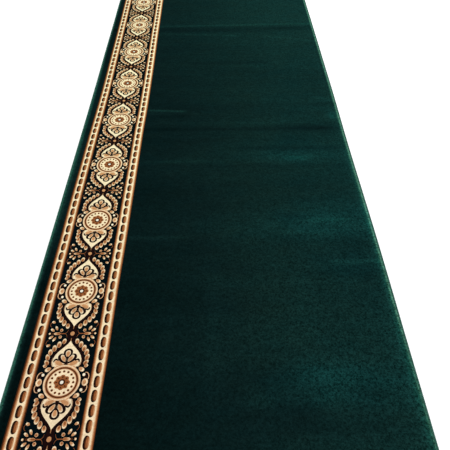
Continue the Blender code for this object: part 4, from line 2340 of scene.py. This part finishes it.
@dataclass
class Overcasting:
    """Thick yarn sewn over the selvedge in close turns, round the whole carpet."""

    lie: Lie
    pitch: float = 3.3 * MM
    half_width: float = 1.86 * MM
    half_thickness: float = 0.62 * MM
    slant: float = 3.1 * MM
    sides: int = 5
    end_size: float = 0.7  # how thick a turn still is where it starts and stops
    tilt: float = math.radians(7.0)
    spread: float = 0.16
    path: tuple[Point, ...] = (  # distance in from the edge, and height, in millimetres
        (9.3, 4.3), (8.0, 5.15), (5.2, 5.38), (2.7, 5.05), (1.0, 3.9),
        (0.70, 2.8), (1.1, 1.6), (2.9, 0.74), (6.0, 0.66), (9.2, 0.75),
    )  # fmt: skip
    core: tuple[Point, ...] = ((9.7, 3.4), (9.5, 4.2), (6.0, 4.7), (2.9, 4.5), (1.8, 3.45))
    core_stations: int = 33

    def build(self) -> list[Object]:
        """Builds the overcasting.

        Returns:
            One piece for each edge.
        """
        tree = Repeats.turns()
        turn = mesh_object("turn", self._turn())
        pieces = [self._run(tree, turn, seed, Course(self.lie, edge)) for seed, edge in enumerate(Edge)]
        bpy.data.objects.remove(turn)
        return pieces

    def _run(
        self, tree: NodeTree, turn: Object, seed: int, course: Course
    ) -> Object:
        """Builds the overcasting of one edge.

        Args:
            tree: the geometry node tree that sets a turn at every station.
            turn: one turn of yarn.
            seed: the seed of what differs from turn to turn.
            course: the edge.

        Returns:
            The piece.
        """
        name = "overcast_" + course.edge.value.replace("serging_", "")
        heading, green = TURNS[course.edge]
        alongs = course.turns(self.pitch, self.half_width)
        stations = bpy.data.meshes.new("stations")
        stations.from_pydata([(*course.place(along, 0.0), 0.0) for along in alongs], [], [])
        marker = mesh_object("stations", stations)
        ends = (alongs[0] - self.pitch / 2, alongs[-1] + self.pitch / 2)
        spots = np.linspace(*ends, self.core_stations)
        core = skinned("core", [self._core_ring(course, float(along)) for along in spots])
        sheen = {"specular": 0.12, "roughness": 0.85}
        finish = OvercastYarn(name, colour=green, along_x=course.is_long, **sheen).material()
        values = {
            "Stations": marker,
            "Turn": turn,
            "Heading": math.radians(heading),
            "Tilt": self.tilt,
            "Spread": self.spread,
            "Seed": seed,
            "Yarn": finish,
        }
        mesh = Repeats.run(tree, core, **values)
        bpy.data.objects.remove(marker)
        return finished(mesh, name, [course.edge.value])

    def _core_ring(self, course: Course, along: float) -> list[Triple]:
        """The section of the selvedge cord under the turns, at one place along the edge."""
        return [(*course.place(along, inset * MM), height * MM) for inset, height in self.core]

    def _turn(self) -> Mesh:
        """One turn of yarn.

        Returns:
            Its mesh: x runs in from the edge, and y along it.
        """
        last = len(self.path) - 1
        line = [
            Vector((x * MM, self.slant * (i / last - 0.5), z * MM)) for i, (x, z) in enumerate(self.path)
        ]
        rings = []
        for i, place in enumerate(line):
            ahead = (line[min(i + 1, last)] - line[max(i - 1, 0)]).normalized()
            wide = Vector((0.0, 1.0, 0.0))
            wide = (wide - wide.dot(ahead) * ahead).normalized()
            size = self.end_size if i in (0, last) else 1.0
            wide, thick = wide * self.half_width * size, ahead.cross(wide) * self.half_thickness * size
            turns = [2 * math.pi * (k + 0.5) / self.sides for k in range(self.sides)]
            rings.append([place + wide * math.cos(t) + thick * math.sin(t) for t in turns])
        mesh = skinned("turn", rings)
        mesh.shade_smooth()
        return mesh


# ------ the studio


@dataclass
class Studio:
    """A pale floor, soft white light from all sides and a large soft light at the right."""

    floor_size: float = 60.0
    floor_drop: float = 0.1 * MM
    world_strength: float = 1.30
    side_light: float = 45.0
    lamp_size: Point = (2.4, 1.2)
    lamp_place: Triple = (3.4, 0.9, 1.5)
    lamp_aim: Triple = (0.2, 0.1, 0.0)
    eye: Triple = (0.0185, -1.7491, 1.3613)
    yaw: float = math.radians(1.2255)
    pitch: float = math.radians(47.439)
    roll: float = math.radians(0.377)
    lens: float = 39.155
    sensor: float = 36.0

    def build(self) -> None:
        """Builds the floor, the lights and the camera."""
        self._floor()
        self._light()
        self._camera()

    def _floor(self) -> None:
        """The floor, a hair below the underside."""
        half = self.floor_size / 2
        corners = [(-half, -half), (half, -half), (half, half), (-half, half)]
        mesh = bpy.data.meshes.new("floor")
        mesh.from_pydata([(x, y, -self.floor_drop) for x, y in corners], [], [(0, 1, 2, 3)])
        mesh.materials.append(PaleFloor("floor", roughness=1.0, specular=0.0).material())
        mesh_object("floor", mesh)

    def _light(self) -> None:
        """The even white surroundings and the soft light from the right."""
        scene = bpy.context.scene
        world = bpy.data.worlds.new("studio")
        world.use_nodes = True
        background = world.node_tree.nodes["Background"]
        background.inputs["Color"].default_value = (1.0, 1.0, 1.0, 1.0)
        background.inputs["Strength"].default_value = self.world_strength
        scene.world = world
        lamp = bpy.data.lights.new("side_light", "AREA")
        lamp.shape = "RECTANGLE"
        lamp.size, lamp.size_y = self.lamp_size
        lamp.energy = self.side_light
        light = bpy.data.objects.new("side_light", lamp)
        light.location = self.lamp_place
        aim = Vector(self.lamp_aim) - light.location
        light.rotation_euler = aim.to_track_quat("-Z", "Y").to_euler()
        scene.collection.objects.link(light)
        scene.view_settings.view_transform = "Standard"

    def _camera(self) -> None:
        """The camera: held at a standing person's chest, looking down along the runner."""
        data = bpy.data.cameras.new("camera")
        data.lens = self.lens
        data.sensor_width = self.sensor
        camera = bpy.data.objects.new("camera", data)
        camera.matrix_world = (
            Matrix.Translation(self.eye)
            @ Matrix.Rotation(-self.yaw, 4, "Z")
            @ Matrix.Rotation(math.pi / 2 - self.pitch, 4, "X")
            @ Matrix.Rotation(self.roll, 4, "Z")
        )
        bpy.context.scene.collection.objects.link(camera)
        bpy.context.scene.camera = camera


def main() -> None:
    """Builds the carpet and its studio, piece by piece."""
    logging.basicConfig(level=logging.INFO, format="%(message)s")
    Studio().build()
    lie = Lie()
    line = BorderLine(lie)
    top = PileTop(lie)
    pieces = [GreenPile(lie, line, top, NapSheen(lie, top)).build()]
    pieces += OrnamentalBorder(lie, line, top).build()
    pieces += Overcasting(lie).build()
    GroundWeave(lie).build(pieces)


if __name__ == "__main__":
    main()
